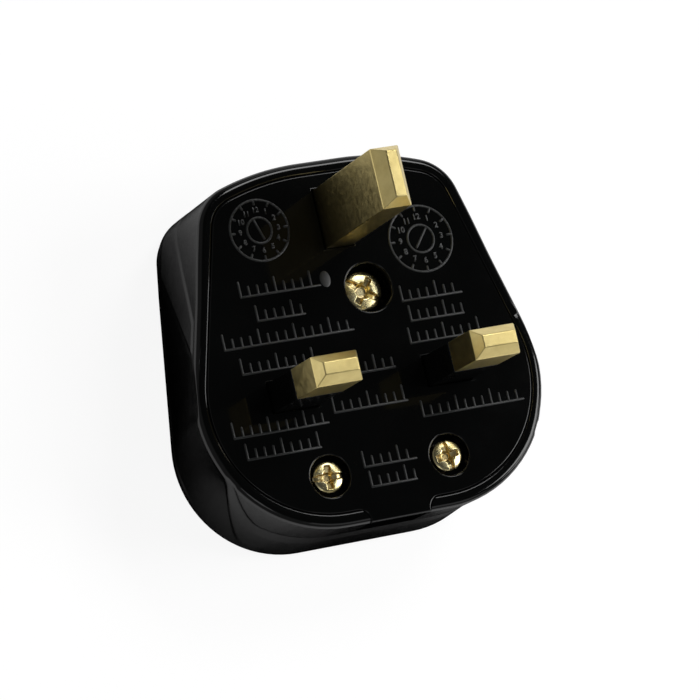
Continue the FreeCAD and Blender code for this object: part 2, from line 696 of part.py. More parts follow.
# The hole in the foot and the ring of a clip, a little longer than they are thick.
def clip_hole(name, y):
    height = (f"{HEAD_IN} - clip_lift - 2*clip_wall", f"{HEAD_IN} + clip_wall")
    return rod(name, "rivet_radius", "-fuse_axis", y, height)


# A spring clip: a ring that is open towards the back, on a flat foot.
def fuse_clip(name, y):
    x = "-fuse_axis"
    limits_y = (f"{y} - clip_length/2", f"{y} + clip_length/2")
    inner = "fuse_radius + clip_fit"
    ring = lying_rod(f"{name}_ring", f"{inner} + clip_wall", x, limits_y, FUSE_Z)
    foot_x = (f"{x} - fuse_radius", f"{x} + fuse_radius")
    foot = block(f"{name}_foot", foot_x, limits_y, (f"{HEAD_IN} - clip_wall", HEAD_IN))
    bore = lying_rod(f"{name}_bore", inner, x, limits_y, FUSE_Z)
    mouth = block(
        f"{name}_mouth",
        (f"{x} - clip_mouth", f"{x} + clip_mouth"),
        limits_y,
        (f"{FUSE_Z} - fuse_radius - 2*clip_wall", FUSE_Z),
    )
    hole = clip_hole(f"{name}_rivet_hole", y)
    return less(name, joined(f"{name}_blank", [ring, foot]), [bore, mouth, hole])


# A fuse cap: a cup over the end of the ceramic barrel.
def fuse_cap(name, limits, hollow):
    outer = lying_rod(f"{name}_outer", "fuse_radius", "-fuse_axis", limits, FUSE_Z)
    inner = lying_rod(f"{name}_inner", "fuse_radius - cap_wall", "-fuse_axis", hollow, FUSE_Z)
    return less(name, outer, [inner])


def make_fuse():
    near_cap_end = f"{FUSE_NEAR} + cap_length"
    far_cap_end = f"{FUSE_FAR} - cap_length"
    inside = (f"{FUSE_NEAR} + cap_wall", f"{FUSE_FAR} - cap_wall")
    barrel = lying_rod("fuse_barrel_rod", "fuse_radius - cap_wall", "-fuse_axis", inside, FUSE_Z)
    bore = lying_rod("fuse_barrel_bore", "barrel_bore", "-fuse_axis", inside, FUSE_Z)
    return [
        less("fuse_barrel", barrel, [bore]),
        lying_rod("fuse_element", "element_radius", "-fuse_axis", inside, FUSE_Z),
        fuse_cap("fuse_cap_pin_end", (FUSE_NEAR, near_cap_end), (inside[0], near_cap_end)),
        fuse_cap("fuse_cap_terminal_end", (far_cap_end, FUSE_FAR), (far_cap_end, inside[1])),
    ]


# The clamp bar with its ridges across the cord, on the two pillars.
def make_clamp_bar():
    low_y = "-clamp_drop - clamp_bar_width/2"
    high_y = "-clamp_drop + clamp_bar_width/2"
    bar = block(
        "clamp_bar_body",
        ("-clamp_bar_half_length", "clamp_bar_half_length"),
        (low_y, high_y),
        (f"{CLAMP_TOP} - clamp_bar_thickness", CLAMP_TOP),
    )
    ridges = []
    for number, step in enumerate((-1, 0, 1), start=1):
        middle = f"-clamp_drop + {step}*clamp_bar_width/3"
        limits_y = (f"{middle} - ridge_width/2", f"{middle} + ridge_width/2")
        limits_z = (CLAMP_TOP, f"{CLAMP_TOP} + clamp_ridge")
        ridges.append(block(f"clamp_ridge_{number}", ("-tongue_half", "tongue_half"), limits_y, limits_z))
    holes = [
        rod(
            f"clamp_bar_hole_{number}",
            "thread_radius + screw_fit",
            f"{side}*clamp_offset",
            "-clamp_drop",
            (f"{CLAMP_TOP} - clamp_bar_thickness", CLAMP_TOP),
        )
        for number, side in enumerate((-1, 1), start=1)
    ]
    return less("cord_clamp_bar", joined("clamp_bar_blank", [bar] + ridges), holes)


def clamp_nut(name, side):
    x = f"{side}*clamp_offset"
    top = f"{CLAMP_TOP} - clamp_bar_thickness"
    limits = (f"{top} - nut_thickness", top)
    body = block(
        f"{name}_block",
        (f"{x} - nut_width/2", f"{x} + nut_width/2"),
        ("-clamp_drop - nut_width/2", "-clamp_drop + nut_width/2"),
        limits,
    )
    return less(name, body, [rod(f"{name}_hole", "thread_radius", x, "-clamp_drop", limits)])


def clamp_screw(name, side):
    end = f"{CLAMP_TOP} - clamp_bar_thickness - nut_thickness - screw_end"
    head = ("clamp_head_radius", "clamp_head_height", "clamp_head_sink")
    return face_screw(name, f"{side}*clamp_offset", "-clamp_drop", *head, "thread_radius", end)


def ring(name, outer, inner, z):
    at = ("cover_screw_offset", "cover_screw_rise")
    return less(name, rod(f"{name}_outer", outer, *at, z), [rod(f"{name}_inner", inner, *at, z)])


def make_cover_fixing():
    seat = f"{FACE} - cover_head_sink - cover_head_height"
    at = ("cover_screw_offset", "cover_screw_rise")
    head = ("cover_head_radius", "cover_head_height", "cover_head_sink")
    screw = face_screw("cover_screw", *at, *head, "cover_thread_radius", f"{seat} - cover_screw_length")
    boss_end = f"{BASE_IN} - boss_height"
    post_top = f"{boss_end} - washer_thickness"
    washer = ring("cover_screw_washer", "washer_radius", "cover_thread_radius", (post_top, boss_end))
    height = (f"{post_top} - insert_length", post_top)
    insert = ring("cover_screw_insert", "insert_radius", "cover_thread_radius", height)
    return [screw, washer, insert]


pins = [make_earth_pin(), make_neutral_pin(), make_live_pin()]
doc.recompute()

nodes = [worked("cover", make_cover()), worked("base", make_base())]
nodes += pins
nodes += [
    sleeve("neutral_pin_sleeve", LINE_X),
    sleeve("live_pin_sleeve", f"-{LINE_X}"),
    make_live_terminal(),
    fuse_clip("fuse_clip_pin_end", PIN_CLIP_Y),
    fuse_clip("fuse_clip_terminal_end", FAR_CLIP_Y),
    rivet_rod("fuse_clip_rivet_pin_end", PIN_CLIP_Y),
    rivet_rod("fuse_clip_rivet_terminal_end", FAR_CLIP_Y),
    terminal_screw("earth_terminal_screw", "0", EARTH_SCREW_Y),
    terminal_screw("neutral_terminal_screw", LINE_X, "0"),
    terminal_screw("live_terminal_screw", *LIVE_BLOCK_MIDDLE),
    make_clamp_bar(),
    clamp_screw("cord_clamp_screw_live_side", -1),
    clamp_screw("cord_clamp_screw_neutral_side", 1),
    clamp_nut("cord_clamp_nut_live_side", -1),
    clamp_nut("cord_clamp_nut_neutral_side", 1),
]
nodes += make_fuse()
nodes += make_cover_fixing()

doc.recompute()
for item in doc.Objects:
    if "Invalid" in item.State or "Error" in item.State:
        raise RuntimeError(f"{item.Name} failed: {item.State}")
for node in nodes:
    node.Label = node.Name
    shape = node.Shape
    if shape.isNull() or not shape.isValid() or not shape.Solids:
        raise RuntimeError(f"{node.Label} has no valid solid")
    shape.exportStep(f"parts/{node.Label}.step")
    box = shape.BoundBox
    print(f"{node.Label}: {len(shape.Solids)} solid, {shape.Volume:.1f} mm3,")
    print(f"  x {box.XMin:.2f} to {box.XMax:.2f}, y {box.YMin:.2f} to {box.YMax:.2f},")
    print(f"  z {box.ZMin:.2f} to {box.ZMax:.2f}")
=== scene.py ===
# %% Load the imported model
import json
import math

import bmesh
import bpy
import numpy as np
from mathutils import Matrix, Vector


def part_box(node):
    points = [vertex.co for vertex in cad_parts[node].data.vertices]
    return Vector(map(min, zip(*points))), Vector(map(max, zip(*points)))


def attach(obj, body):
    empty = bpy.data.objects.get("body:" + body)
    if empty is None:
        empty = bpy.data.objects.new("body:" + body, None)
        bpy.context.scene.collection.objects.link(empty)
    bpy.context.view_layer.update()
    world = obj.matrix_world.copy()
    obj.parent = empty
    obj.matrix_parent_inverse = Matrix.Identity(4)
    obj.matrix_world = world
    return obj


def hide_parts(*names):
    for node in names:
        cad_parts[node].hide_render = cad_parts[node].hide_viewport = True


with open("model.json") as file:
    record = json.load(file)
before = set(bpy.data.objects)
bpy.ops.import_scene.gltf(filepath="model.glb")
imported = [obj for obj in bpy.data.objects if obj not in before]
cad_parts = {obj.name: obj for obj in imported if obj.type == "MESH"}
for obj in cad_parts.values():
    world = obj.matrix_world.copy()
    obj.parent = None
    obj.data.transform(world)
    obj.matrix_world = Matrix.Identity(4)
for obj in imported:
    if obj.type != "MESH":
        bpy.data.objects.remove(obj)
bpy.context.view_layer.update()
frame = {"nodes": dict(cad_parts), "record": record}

MM = 0.001
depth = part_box("base")[1].z / MM

# %% [markdown]
# The plug lies on its flat back with its pins up, and it was photographed from
# far away with a long lens. Each corner of a pin has a known place on a real
# plug, so the camera was solved from those corners. It is kept as three plain
# facts: where it stands, what it looks at and which way is up for it.

# %% The camera
CAMERA_PLACE = Vector((-196.27, -64.90, 472.08)) * MM
CAMERA_TARGET = Vector((-1.92, 4.48, 20.0)) * MM
CAMERA_ROLL = math.radians(13.83)
CAMERA_LENS = 195.98
CAMERA_NEAR = 0.01


def aim(place, target, up):
    """The transform at place that looks along its own -Z at target."""
    back = (place - target).normalized()
    right = up.cross(back).normalized()
    turn = Matrix((right, back.cross(right), back)).transposed().to_4x4()
    return Matrix.Translation(place) @ turn


camera = bpy.data.objects.new("camera", bpy.data.cameras.new("camera"))
bpy.context.scene.collection.objects.link(camera)
camera.data.lens = CAMERA_LENS
camera.data.clip_start = CAMERA_NEAR
camera_up = Vector((math.sin(CAMERA_ROLL), math.cos(CAMERA_ROLL), 0))
camera.matrix_world = aim(CAMERA_PLACE, CAMERA_TARGET, camera_up)
bpy.context.scene.camera = camera
print("camera distance in mm:", round((CAMERA_PLACE - CAMERA_TARGET).length / MM, 1))

# %% [markdown]
# Every finish below is a small graph of nodes. One function adds a node, sets
# it up and links it, so each material reads like a recipe. Colours are written
# as the sRGB hex values that a colour picker shows, and Blender wants linear
# light, so one function turns them.

# %% Helpers for materials


def linear(hex_colour):
    """The linear colour, with alpha 1, of an sRGB hex value such as '#C8B06A'."""
    value = np.array([int(hex_colour[i:i + 2], 16) for i in (1, 3, 5)]) / 255
    light = np.where(value <= 0.04045, value / 12.92, ((value + 0.055) / 1.055) ** 2.4)
    return (*light.tolist(), 1.0)


def add(tree, kind, links=None, stops=None, **settings):
    """Adds a node. A setting names a property or an input, links feed inputs from other nodes' outputs,
    and stops are the two (position, colour) ends of a colour ramp."""
    node = tree.nodes.new(kind)
    for name, value in settings.items():
        if hasattr(node, name):
            setattr(node, name, value)
        else:
            node.inputs[name.replace("_", " ")].default_value = value
    if stops:
        for element, (position, colour) in zip(node.color_ramp.elements, stops):
            element.position, element.color = position, colour
    for socket, source in (links or {}).items():
        tree.links.new(source, node.inputs[socket])
    return node


def new_material(name):
    """An empty node material, its tree and its output node."""
    material = bpy.data.materials.new(name)
    material.use_nodes = True
    tree = material.node_tree
    tree.nodes.clear()
    return material, tree, tree.nodes.new("ShaderNodeOutputMaterial")


def per_mm(wavelength):
    """The scale of a noise texture whose features are about wavelength mm apart."""
    return 1 / (wavelength * MM)


print("the middle grey #808080 is", round(linear("#808080")[0], 3), "in linear light")

# %% [markdown]
# The body is a thermoset plastic, pressed in a polished steel mould. It is
# nearly black all through and as glossy as a mirror, but never quite flat: as
# it shrinks, the skin gets waves a few millimetres long, which bend what it
# reflects. Handling leaves faint smears, so the roughness varies a little. The
# raised marks were engraved in the mould, so their skin is more matt.

# %% Black thermoset plastic and the sleeves' plastic
SMEAR_MM, WAVE_MM, GRAIN_MM = 6, 9, 0.5
GRAIN_HEIGHT = 0.0012
PLASTIC_IOR = 1.52


def moulded_plastic(name, colour, roughness, smear, wave_height, mirror):
    """Moulded plastic: one colour, gloss with smears, and a skin with long low waves and a fine grain.
    Heights are in mm, and mirror is the level of its clear reflection."""
    material, tree, output = new_material(name)
    place = add(tree, "ShaderNodeTexCoord").outputs["Object"]
    smears = add(
        tree, "ShaderNodeTexNoise", {"Vector": place}, Scale=per_mm(SMEAR_MM), Detail=4.0, Roughness=0.6
    )
    gloss = add(
        tree, "ShaderNodeMapRange", {"Value": smears.outputs["Fac"]},
        From_Min=0.35, From_Max=0.75, To_Min=roughness, To_Max=roughness + smear,
    )
    waves = add(tree, "ShaderNodeTexNoise", {"Vector": place}, Scale=per_mm(WAVE_MM), Detail=1.0)
    grain = add(tree, "ShaderNodeTexNoise", {"Vector": place}, Scale=per_mm(GRAIN_MM), Detail=2.0)
    wavy = add(
        tree, "ShaderNodeBump", {"Height": waves.outputs["Fac"]}, Strength=1.0, Distance=wave_height * MM
    )
    skin = add(
        tree, "ShaderNodeBump", {"Height": grain.outputs["Fac"], "Normal": wavy.outputs["Normal"]},
        Strength=1.0, Distance=GRAIN_HEIGHT * MM,
    )
    shader = add(
        tree, "ShaderNodeBsdfPrincipled",
        {"Roughness": gloss.outputs["Result"], "Normal": skin.outputs["Normal"]},
        IOR=PLASTIC_IOR, Specular_IOR_Level=mirror,
    )
    shader.inputs["Base Color"].default_value = linear(colour)
    tree.links.new(shader.outputs["BSDF"], output.inputs["Surface"])
    return material


black_thermoset = moulded_plastic(
    "black_thermoset", "#070808", roughness=0.06, smear=0.04, wave_height=0.04, mirror=0.42
)
mark_plastic = moulded_plastic(
    "mark_plastic", "#1C1E1E", roughness=0.34, smear=0.1, wave_height=0.02, mirror=0.6
)
sleeve_plastic = moulded_plastic(
    "sleeve_plastic", "#080909", roughness=0.2, smear=0.1, wave_height=0.02, mirror=0.4
)
print("made", black_thermoset.name + ",", mark_plastic.name, "and", sleeve_plastic.name)

# %% [markdown]
# The pins are drawn brass bar, tumbled until they are satin, so they shine
# softly. Fine scratches run along the bar, and handling has left darker stains
# and small dents. The screws are turned and plated brass, much brighter.
# Metals keep the default IOR: their colour is the colour of their reflection.

# %% Brass, bronze and cap metal
STAIN_MM, SPECK_MM = 2.2, 0.7
SPECK_SHARE = 0.4
ALONG_Z, ALL_WAYS = (1.0, 1.0, 0.12), (1.0, 1.0, 1.0)


def worked_metal(
    name, colour, stain, corner_shade, reach, roughness, scratch_mm, scratch_depth, stretch=ALONG_Z
):
    """Metal with stains of a second colour, painted shade in a dark colour within reach mm of a corner, where
    ambient occlusion finds one, and fine scratches that are drawn out by the stretch of their noise. Dents as
    wide as specks have a share of a scratch's depth."""
    material, tree, output = new_material(name)
    place = add(tree, "ShaderNodeTexCoord").outputs["Object"]
    cloud = add(
        tree, "ShaderNodeTexNoise", {"Vector": place}, Scale=per_mm(STAIN_MM), Detail=5.0, Roughness=0.65
    )
    stops = [(0.38, linear(colour)), (0.72, linear(stain))]
    worn = add(tree, "ShaderNodeValToRGB", {"Fac": cloud.outputs["Fac"]}, stops)
    # Painted shade: where ambient occlusion finds a corner within reach, the colour is mixed towards the dark
    # colour given for it, as shade falls in corners and recesses.
    hollow = add(tree, "ShaderNodeAmbientOcclusion", samples=8, Distance=reach * MM)
    unshaded_share = add(
        tree, "ShaderNodeMapRange", {"Value": hollow.outputs["AO"]},
        From_Min=0.4, From_Max=0.9, To_Min=0.0, To_Max=1.0,
    )
    tint = add(
        tree, "ShaderNodeMix", {"Factor": unshaded_share.outputs["Result"], "B": worn.outputs["Color"]},
        data_type="RGBA", blend_type="MIX",
    )
    tint.inputs["A"].default_value = linear(corner_shade)
    along = add(tree, "ShaderNodeMapping", {"Vector": place})
    along.inputs["Scale"].default_value = stretch
    scratches = add(
        tree, "ShaderNodeTexNoise", {"Vector": along.outputs["Vector"]}, Scale=per_mm(scratch_mm), Detail=1.0
    )
    specks = add(tree, "ShaderNodeTexNoise", {"Vector": place}, Scale=per_mm(SPECK_MM), Detail=1.0)
    satin = add(
        tree, "ShaderNodeMapRange", {"Value": specks.outputs["Fac"]},
        From_Min=0.3, From_Max=0.7, To_Min=roughness * 0.9, To_Max=roughness * 1.15,
    )
    fine = add(
        tree, "ShaderNodeBump", {"Height": scratches.outputs["Fac"]},
        Strength=1.0, Distance=scratch_depth * MM,
    )
    rough = add(
        tree, "ShaderNodeBump", {"Height": specks.outputs["Fac"], "Normal": fine.outputs["Normal"]},
        Strength=1.0, Distance=scratch_depth * MM * SPECK_SHARE,
    )
    shader = add(
        tree, "ShaderNodeBsdfPrincipled",
        {"Roughness": satin.outputs["Result"], "Normal": rough.outputs["Normal"]}, Metallic=1.0,
    )
    tree.links.new(tint.outputs["Result"], shader.inputs["Base Color"])
    tree.links.new(shader.outputs["BSDF"], output.inputs["Surface"])
    return material


# The colour given after the stain of each metal is painted shade for its corners and recesses.
pin_brass = worked_metal(
    "satin_drawn_brass", "#F2DE98", stain="#E0CB86", corner_shade="#4C452A", reach=7.0,
    roughness=0.33, scratch_mm=0.4, scratch_depth=0.0015,
)
screw_brass = worked_metal(
    "plated_screw_brass", "#F8ECBA", stain="#EBD68F", corner_shade="#96691C", reach=0.9,
    roughness=0.25, scratch_mm=0.25, scratch_depth=0.0015, stretch=ALL_WAYS,
)
clip_bronze = worked_metal(
    "rolled_clip_bronze", "#B98556", stain="#8F6238", corner_shade="#6A4526", reach=0.9,
    roughness=0.28, scratch_mm=0.2, scratch_depth=0.004,
)
cap_metal = worked_metal(
    "plated_fuse_cap", "#C9C8C2", stain="#A5A49D", corner_shade="#7D7C77", reach=0.9,
    roughness=0.2, scratch_mm=0.2, scratch_depth=0.003,
)
print("made", [m.name for m in (pin_brass, screw_brass, clip_bronze, cap_metal)])

# %% [markdown]
# Two finishes are hidden inside. The fuse has a barrel of unglazed ceramic,
# cream and matt, with a fine grain. The bar that grips the cord is pressed
# vulcanised fibre, a dull red-brown sheet with short fibres in it.

# %% Ceramic and pressed fibre


def grained(name, light, dark, grain_mm, roughness, height):
    """A matt material whose colour and relief follow one grain."""
    material, tree, output = new_material(name)
    place = add(tree, "ShaderNodeTexCoord").outputs["Object"]
    grain = add(tree, "ShaderNodeTexNoise", {"Vector": place}, Scale=per_mm(grain_mm), Detail=4.0)
    stops = [(0.35, linear(dark)), (0.65, linear(light))]
    tint = add(tree, "ShaderNodeValToRGB", {"Fac": grain.outputs["Fac"]}, stops)
    relief = add(tree, "ShaderNodeBump", {"Height": grain.outputs["Fac"]}, Strength=1.0, Distance=height * MM)
    shader = add(
        tree, "ShaderNodeBsdfPrincipled",
        {"Base Color": tint.outputs["Color"], "Normal": relief.outputs["Normal"]}, Roughness=roughness,
    )
    tree.links.new(shader.outputs["BSDF"], output.inputs["Surface"])
    return material


fuse_ceramic = grained(
    "unglazed_ceramic", "#E6E0D2", "#D6CDBB", grain_mm=0.4, roughness=0.6, height=0.01
)
clamp_fibre = grained("pressed_fibre", "#6E3B2A", "#54291D", grain_mm=0.8, roughness=0.7, height=0.03)
print("made", fuse_ceramic.name, "and", clamp_fibre.name)

# %% [markdown]
# The cover is one shell with soft edges everywhere. Its shape is easiest to
# say as outlines: the outline of the pin face, the two planes that the grips
# lean along, and the shoulders that grow from the face down to the back rim.
# Each outline is a polygon with rounded corners, the same on both sides. Seen
# from a centre, such an outline is a radius for each direction, and then the
# joining of forms is plain arithmetic: the larger radius joins two forms and
# the smaller one cuts them. A smooth maximum leaves the soft crease of a mould.

# %% Outlines as radii
CENTRE_Y = 4.0
DIRECTIONS = 600


def rounded_outline(corners, samples=24):
    """Points (x, y) along a closed outline. The corners run down the right side, top to bottom, as
    (x, y, radius), and are mirrored to the left. A corner's round is the arc that touches both its sides:
    its centre lies r / sin(h) from the corner, where h is half of the corner's angle."""
    points = np.array(corners + [(-x, y, r) for x, y, r in reversed(corners)])
    here, radius = points[:, :2], points[:, 2:]
    to_before = np.roll(here, 1, axis=0) - here
    to_after = np.roll(here, -1, axis=0) - here
    to_before /= np.linalg.norm(to_before, axis=1, keepdims=True)
    to_after /= np.linalg.norm(to_after, axis=1, keepdims=True)
    half = np.arccos(np.clip((to_before * to_after).sum(1, keepdims=True), -1, 1)) / 2
    middle = to_before + to_after
    middle /= np.linalg.norm(middle, axis=1, keepdims=True)
    centre = here + middle * radius / np.sin(half)
    first = here + to_before * radius / np.tan(half) - centre
    last = here + to_after * radius / np.tan(half) - centre
    share = np.linspace(0, 1, samples)[None, :, None]
    spread = np.pi - 2 * half[:, None, :]
    bend = np.sin((1 - share) * spread) * first[:, None, :] + np.sin(share * spread) * last[:, None, :]
    arc = centre[:, None, :] + bend / np.sin(spread)
    return arc.reshape(-1, 2)


def radii(outline, angles, steps=40):
    """The distance from the centre (0, CENTRE_Y) to a closed outline in each direction. Each side is cut
    into steps, so that straight sides stay straight."""
    closed = np.vstack([outline, outline[:1]])
    share = np.linspace(0, 1, steps, endpoint=False)[None, :, None]
    dense = (closed[:-1, None, :] * (1 - share) + closed[1:, None, :] * share).reshape(-1, 2)
    x, y = dense[:, 0], dense[:, 1] - CENTRE_Y
    way = np.arctan2(y, x)
    order = np.argsort(way)
    return np.interp(angles, way[order], np.hypot(x, y)[order], period=2 * np.pi)


def smooth_max(a, b, soft):
    """The larger of a and b, with the crease between them rounded: (a + b + sqrt((a - b)^2 + soft^2)) / 2."""
    return (a + b + np.sqrt((a - b) ** 2 + soft ** 2)) / 2


def smooth_min(a, b, soft):
    """The smaller of a and b, with the same soft crease."""
    return (a + b - np.sqrt((a - b) ** 2 + soft ** 2)) / 2


def step_up(value, soft):
    """0 below zero and 1 above it, with the smooth step 3t^2 - 2t^3 between -soft and soft."""
    t = np.clip((value + soft) / (2 * soft), 0, 1)
    return t * t * (3 - 2 * t)


angles = np.linspace(-np.pi, np.pi, DIRECTIONS, endpoint=False)
print("outlines are sampled every", 360 / DIRECTIONS, "degrees")

# %% [markdown]
# These are the sizes of the cover in millimetres, measured on the photograph
# with the solved camera. Z is the height above the back, so the pin face lies
# at the depth of the body.

# %% Sizes of the cover
FACE_TOP, FACE_BOTTOM = 30.2, 18.2
FACE_HALF_TOP, FACE_HALF_BOTTOM = 16.95, 30.1
FACE_TOP_ROUND, FACE_BOTTOM_ROUND = 6.6, 17.4
FACE_BOW, FACE_BOW_SLOPE, FACE_BOW_ROUND = 8.5, 0.31, 36.0
RIM_ROUND = 0.9
GRIP_HALF, GRIP_TAPER, GRIP_SLOPE = 24.48, 0.122, 0.145
GRIP_HOLLOW = 0.7
LEDGE = 0.15
BACK_BAND = 2.9
FLARE_START, FLARE_SINK = 1.5, 0.7
SHOULDER_LEAN, SHOULDER_LEAN_BACK = 0.365, 0.165
CREASE_Y, CREASE_SINK, CREASE_ROUND = 6.0, 0.1, 0.6
SHOULDER_HALF_BOTTOM, SHOULDER_BOTTOM_ROUND = 22.6, 18.5
BACK_BOW, BACK_BOW_SLOPE, BACK_BOW_ROUND = 4.2, 0.25, 28.0
BACK_CREASE_Y = 18.2
BACK_TOP, BACK_BOTTOM = FACE_TOP + 0.3, -FACE_BOTTOM - 0.45
BACK_TOP_ROUND, BACK_BOTTOM_ROUND = 6.4, 14.4
BACK_INSET_TOP, BACK_INSET_BOTTOM = 0.85, 1.15
BACK_ROUND = 2.9
RIM_WIDTH = 1.75
LIP_ROUND = 0.22
LIP_DEPTH = 0.6
PLATE = 3.0
CAVITY_INSET = 3.9
FLOOR = 2.2
LEAN = (FACE_HALF_BOTTOM - FACE_HALF_TOP) / (FACE_TOP + FACE_BOTTOM)


def top_corners(bow_x, slope, bow_round, top_y, flank_x, lean, top_round):
    """Where a level top begins to fall, and where its slope y = top - s (x - b) meets the flank
    x = f + l (top - y): at x = (f - l s b) / (1 - l s)."""
    corner_x = (flank_x - lean * slope * bow_x) / (1 - lean * slope)
    return [(bow_x, top_y, bow_round), (corner_x, top_y - slope * (corner_x - bow_x), top_round)]


def face_outline(inset):
    """The outline of the pin face moved inwards: each side by inset, and each round smaller by it."""
    bow_x = FACE_BOW - inset * (math.hypot(1, FACE_BOW_SLOPE) - 1) / FACE_BOW_SLOPE
    flank_x = FACE_HALF_TOP - inset * (math.hypot(1, LEAN) - LEAN)
    top = top_corners(
        bow_x, FACE_BOW_SLOPE, FACE_BOW_ROUND - inset,
        FACE_TOP - inset, flank_x, LEAN, FACE_TOP_ROUND - inset,
    )
    shift = inset * (math.hypot(1, LEAN) + LEAN)
    return rounded_outline(top + [(FACE_HALF_BOTTOM - shift, inset - FACE_BOTTOM, FACE_BOTTOM_ROUND - inset)])


def grip_outline(z, past=4, corner_round=0.1):
    """The two leaning grip planes at height z, closed by lines that lie past the face."""
    half = GRIP_HALF - GRIP_TAPER * (depth - z)
    high, low = FACE_TOP + past, -FACE_BOTTOM - past
    return rounded_outline([
        (half - GRIP_SLOPE * high, high, corner_round), (half - GRIP_SLOPE * low, low, corner_round),
    ])


def shoulder_front():
    """The shoulders' outline where they begin, just under the pin face."""
    crease_x = FACE_HALF_TOP + LEAN * (FACE_TOP - CREASE_Y) - CREASE_SINK
    top_y = FACE_TOP - FLARE_SINK
    top = top_corners(
        FACE_BOW, FACE_BOW_SLOPE, FACE_BOW_ROUND - FLARE_SINK,
        top_y, crease_x - SHOULDER_LEAN * (top_y - CREASE_Y), SHOULDER_LEAN, FACE_TOP_ROUND - FLARE_SINK,
    )
    bottom = (SHOULDER_HALF_BOTTOM, FLARE_SINK - FACE_BOTTOM, SHOULDER_BOTTOM_ROUND)
    return rounded_outline(top + [(crease_x, CREASE_Y, CREASE_ROUND), bottom])


def back_rim(inset=0.0):
    """The outline of the back rim moved inwards by inset."""
    half = GRIP_HALF - GRIP_TAPER * (depth - BACK_BAND)
    crease_x = half - GRIP_SLOPE * BACK_CREASE_Y
    flank_x = crease_x - SHOULDER_LEAN_BACK * (BACK_TOP - BACK_CREASE_Y) - inset * BACK_INSET_TOP
    top = top_corners(
        BACK_BOW, BACK_BOW_SLOPE, BACK_BOW_ROUND - inset,
        BACK_TOP - inset, flank_x, SHOULDER_LEAN_BACK, BACK_TOP_ROUND - inset,
    )
    crease = (crease_x - inset, BACK_CREASE_Y, CREASE_ROUND)
    bottom_x = half - GRIP_SLOPE * BACK_BOTTOM - inset * BACK_INSET_BOTTOM
    return rounded_outline(top + [crease, (bottom_x, BACK_BOTTOM + inset, BACK_BOTTOM_ROUND - inset)])


print("face sides lean by", round(LEAN, 4), "mm for each mm")

# %% [markdown]
# Between the pin face and the back rim each flank has four forms. From the
# widest point towards the earth pin, an upper shoulder stands a little proud
# of the wall, and its edge falls across the flank. Towards the cord, the grip's
# wall is slightly hollow and ends along a slanting edge. Past that edge the
# wall stays upright down to a valley, where a lower shoulder leaves it for the
# back rim. Along the foot of the grip runs a thin ledge.

# %% Forms of the flank
HOLLOW_Y, HOLLOW_SOFT = -5.0, 4.0
VALLEY_Y, VALLEY_Z, VALLEY_RISE = -15.1, 11.6, 1.62
VALLEY_HIGHEST, VALLEY_SOFT = 19.2, 0.8
DIP, DIP_ABOVE, DIP_BELOW = 0.16, 0.9, 2.5
GRIP_END_Y, GRIP_END_Z, GRIP_END_RISE = -9.7, 18.2, 2.5
EDGE_SOFT = 0.3
STEP_Y, STEP_Z, STEP_FALL, STEP_HIGHEST = 11.8, 18.3, 0.62, 18.4
STEP_PROUD, STEP_SOFT, STEP_GROWTH = 0.16, 0.15, 0.03
GRIP_TOP_Y, GRIP_TOP_Z, GRIP_TOP_LEAN = 7.2, 18.8, 0.96
FADE_Z, FADE_Z_SOFT = 4.6, 0.9
FADE_Y, FADE_Y_SOFT = 27.0, 1.5
LEDGE_HIGH_Y, LEDGE_HIGH_SOFT = 17.0, 4.0
LEDGE_LOW_Y, LEDGE_LOW_SOFT = -9.0, 2.0
LEDGE_RISE, LEDGE_SOFT = 0.4, 0.16


def lower_flank(face, top, rim, y, z):
    """The radius from the widest point towards the cord. The grip's wall falls straight from the face to
    the back rim, hollowed by 4 h t (1 - t) at the share t of its fall. It ends along
    y = GRIP_END_Y - (GRIP_END_Z - z) / GRIP_END_RISE.
    Past it the wall stays upright down to z = VALLEY_Z + max(0, VALLEY_RISE (y - VALLEY_Y)), with a shallow
    dip there, and a shoulder goes on from the valley to the rim."""
    valley = smooth_max(VALLEY_Z, VALLEY_Z + VALLEY_RISE * (y - VALLEY_Y), VALLEY_SOFT)
    valley = np.minimum(valley, VALLEY_HIGHEST)
    leave = np.maximum(valley - z, 0) / (valley - BACK_BAND)
    dip = np.minimum((valley + DIP_ABOVE - z) / DIP_ABOVE, 1 + (z - valley) / DIP_BELOW)
    facets = face + (rim - face) * leave - DIP * np.clip(dip, 0, 1)
    wall_top = depth - RIM_ROUND
    fall = min(max((wall_top - z) / (wall_top - BACK_BAND), 0), 1)
    hollow = GRIP_HOLLOW * 4 * fall * (1 - fall) * step_up(HOLLOW_Y - y, HOLLOW_SOFT)
    wall = top + (rim - top) * fall - hollow
    return facets + (wall - facets) * step_up(y - GRIP_END_Y + (GRIP_END_Z - z) / GRIP_END_RISE, EDGE_SOFT)


def upper_shoulders(y, z):
    """How far the upper shoulders stand out at height z. Each lies between the line
    z = STEP_Z - STEP_FALL (y - STEP_Y), where it leaves the wall, and the grip's upper edge
    y = GRIP_TOP_Y + GRIP_TOP_LEAN (GRIP_TOP_Z - z). It dies out in the back rim and at the top."""
    line = np.minimum(STEP_Z - STEP_FALL * (y - STEP_Y), STEP_HIGHEST)
    proud = STEP_PROUD * step_up(line - z, STEP_SOFT) + STEP_GROWTH * np.maximum(line - z, 0)
    past_grip = step_up(y - GRIP_TOP_Y - GRIP_TOP_LEAN * (GRIP_TOP_Z - z), EDGE_SOFT)
    return proud * past_grip * step_up(z - FADE_Z, FADE_Z_SOFT) * step_up(FADE_Y - y, FADE_Y_SOFT)


def foot_ledge(y, z):
    """How far the grip lies behind the back rim: LEDGE along it, and nothing at the rim and at its ends."""
    high_end, low_end = step_up(LEDGE_HIGH_Y - y, LEDGE_HIGH_SOFT), step_up(y - LEDGE_LOW_Y, LEDGE_LOW_SOFT)
    return LEDGE * high_end * low_end * step_up(z - BACK_BAND - LEDGE_RISE, LEDGE_SOFT)


print("the lower valley lies at least", VALLEY_Z, "mm above the back")

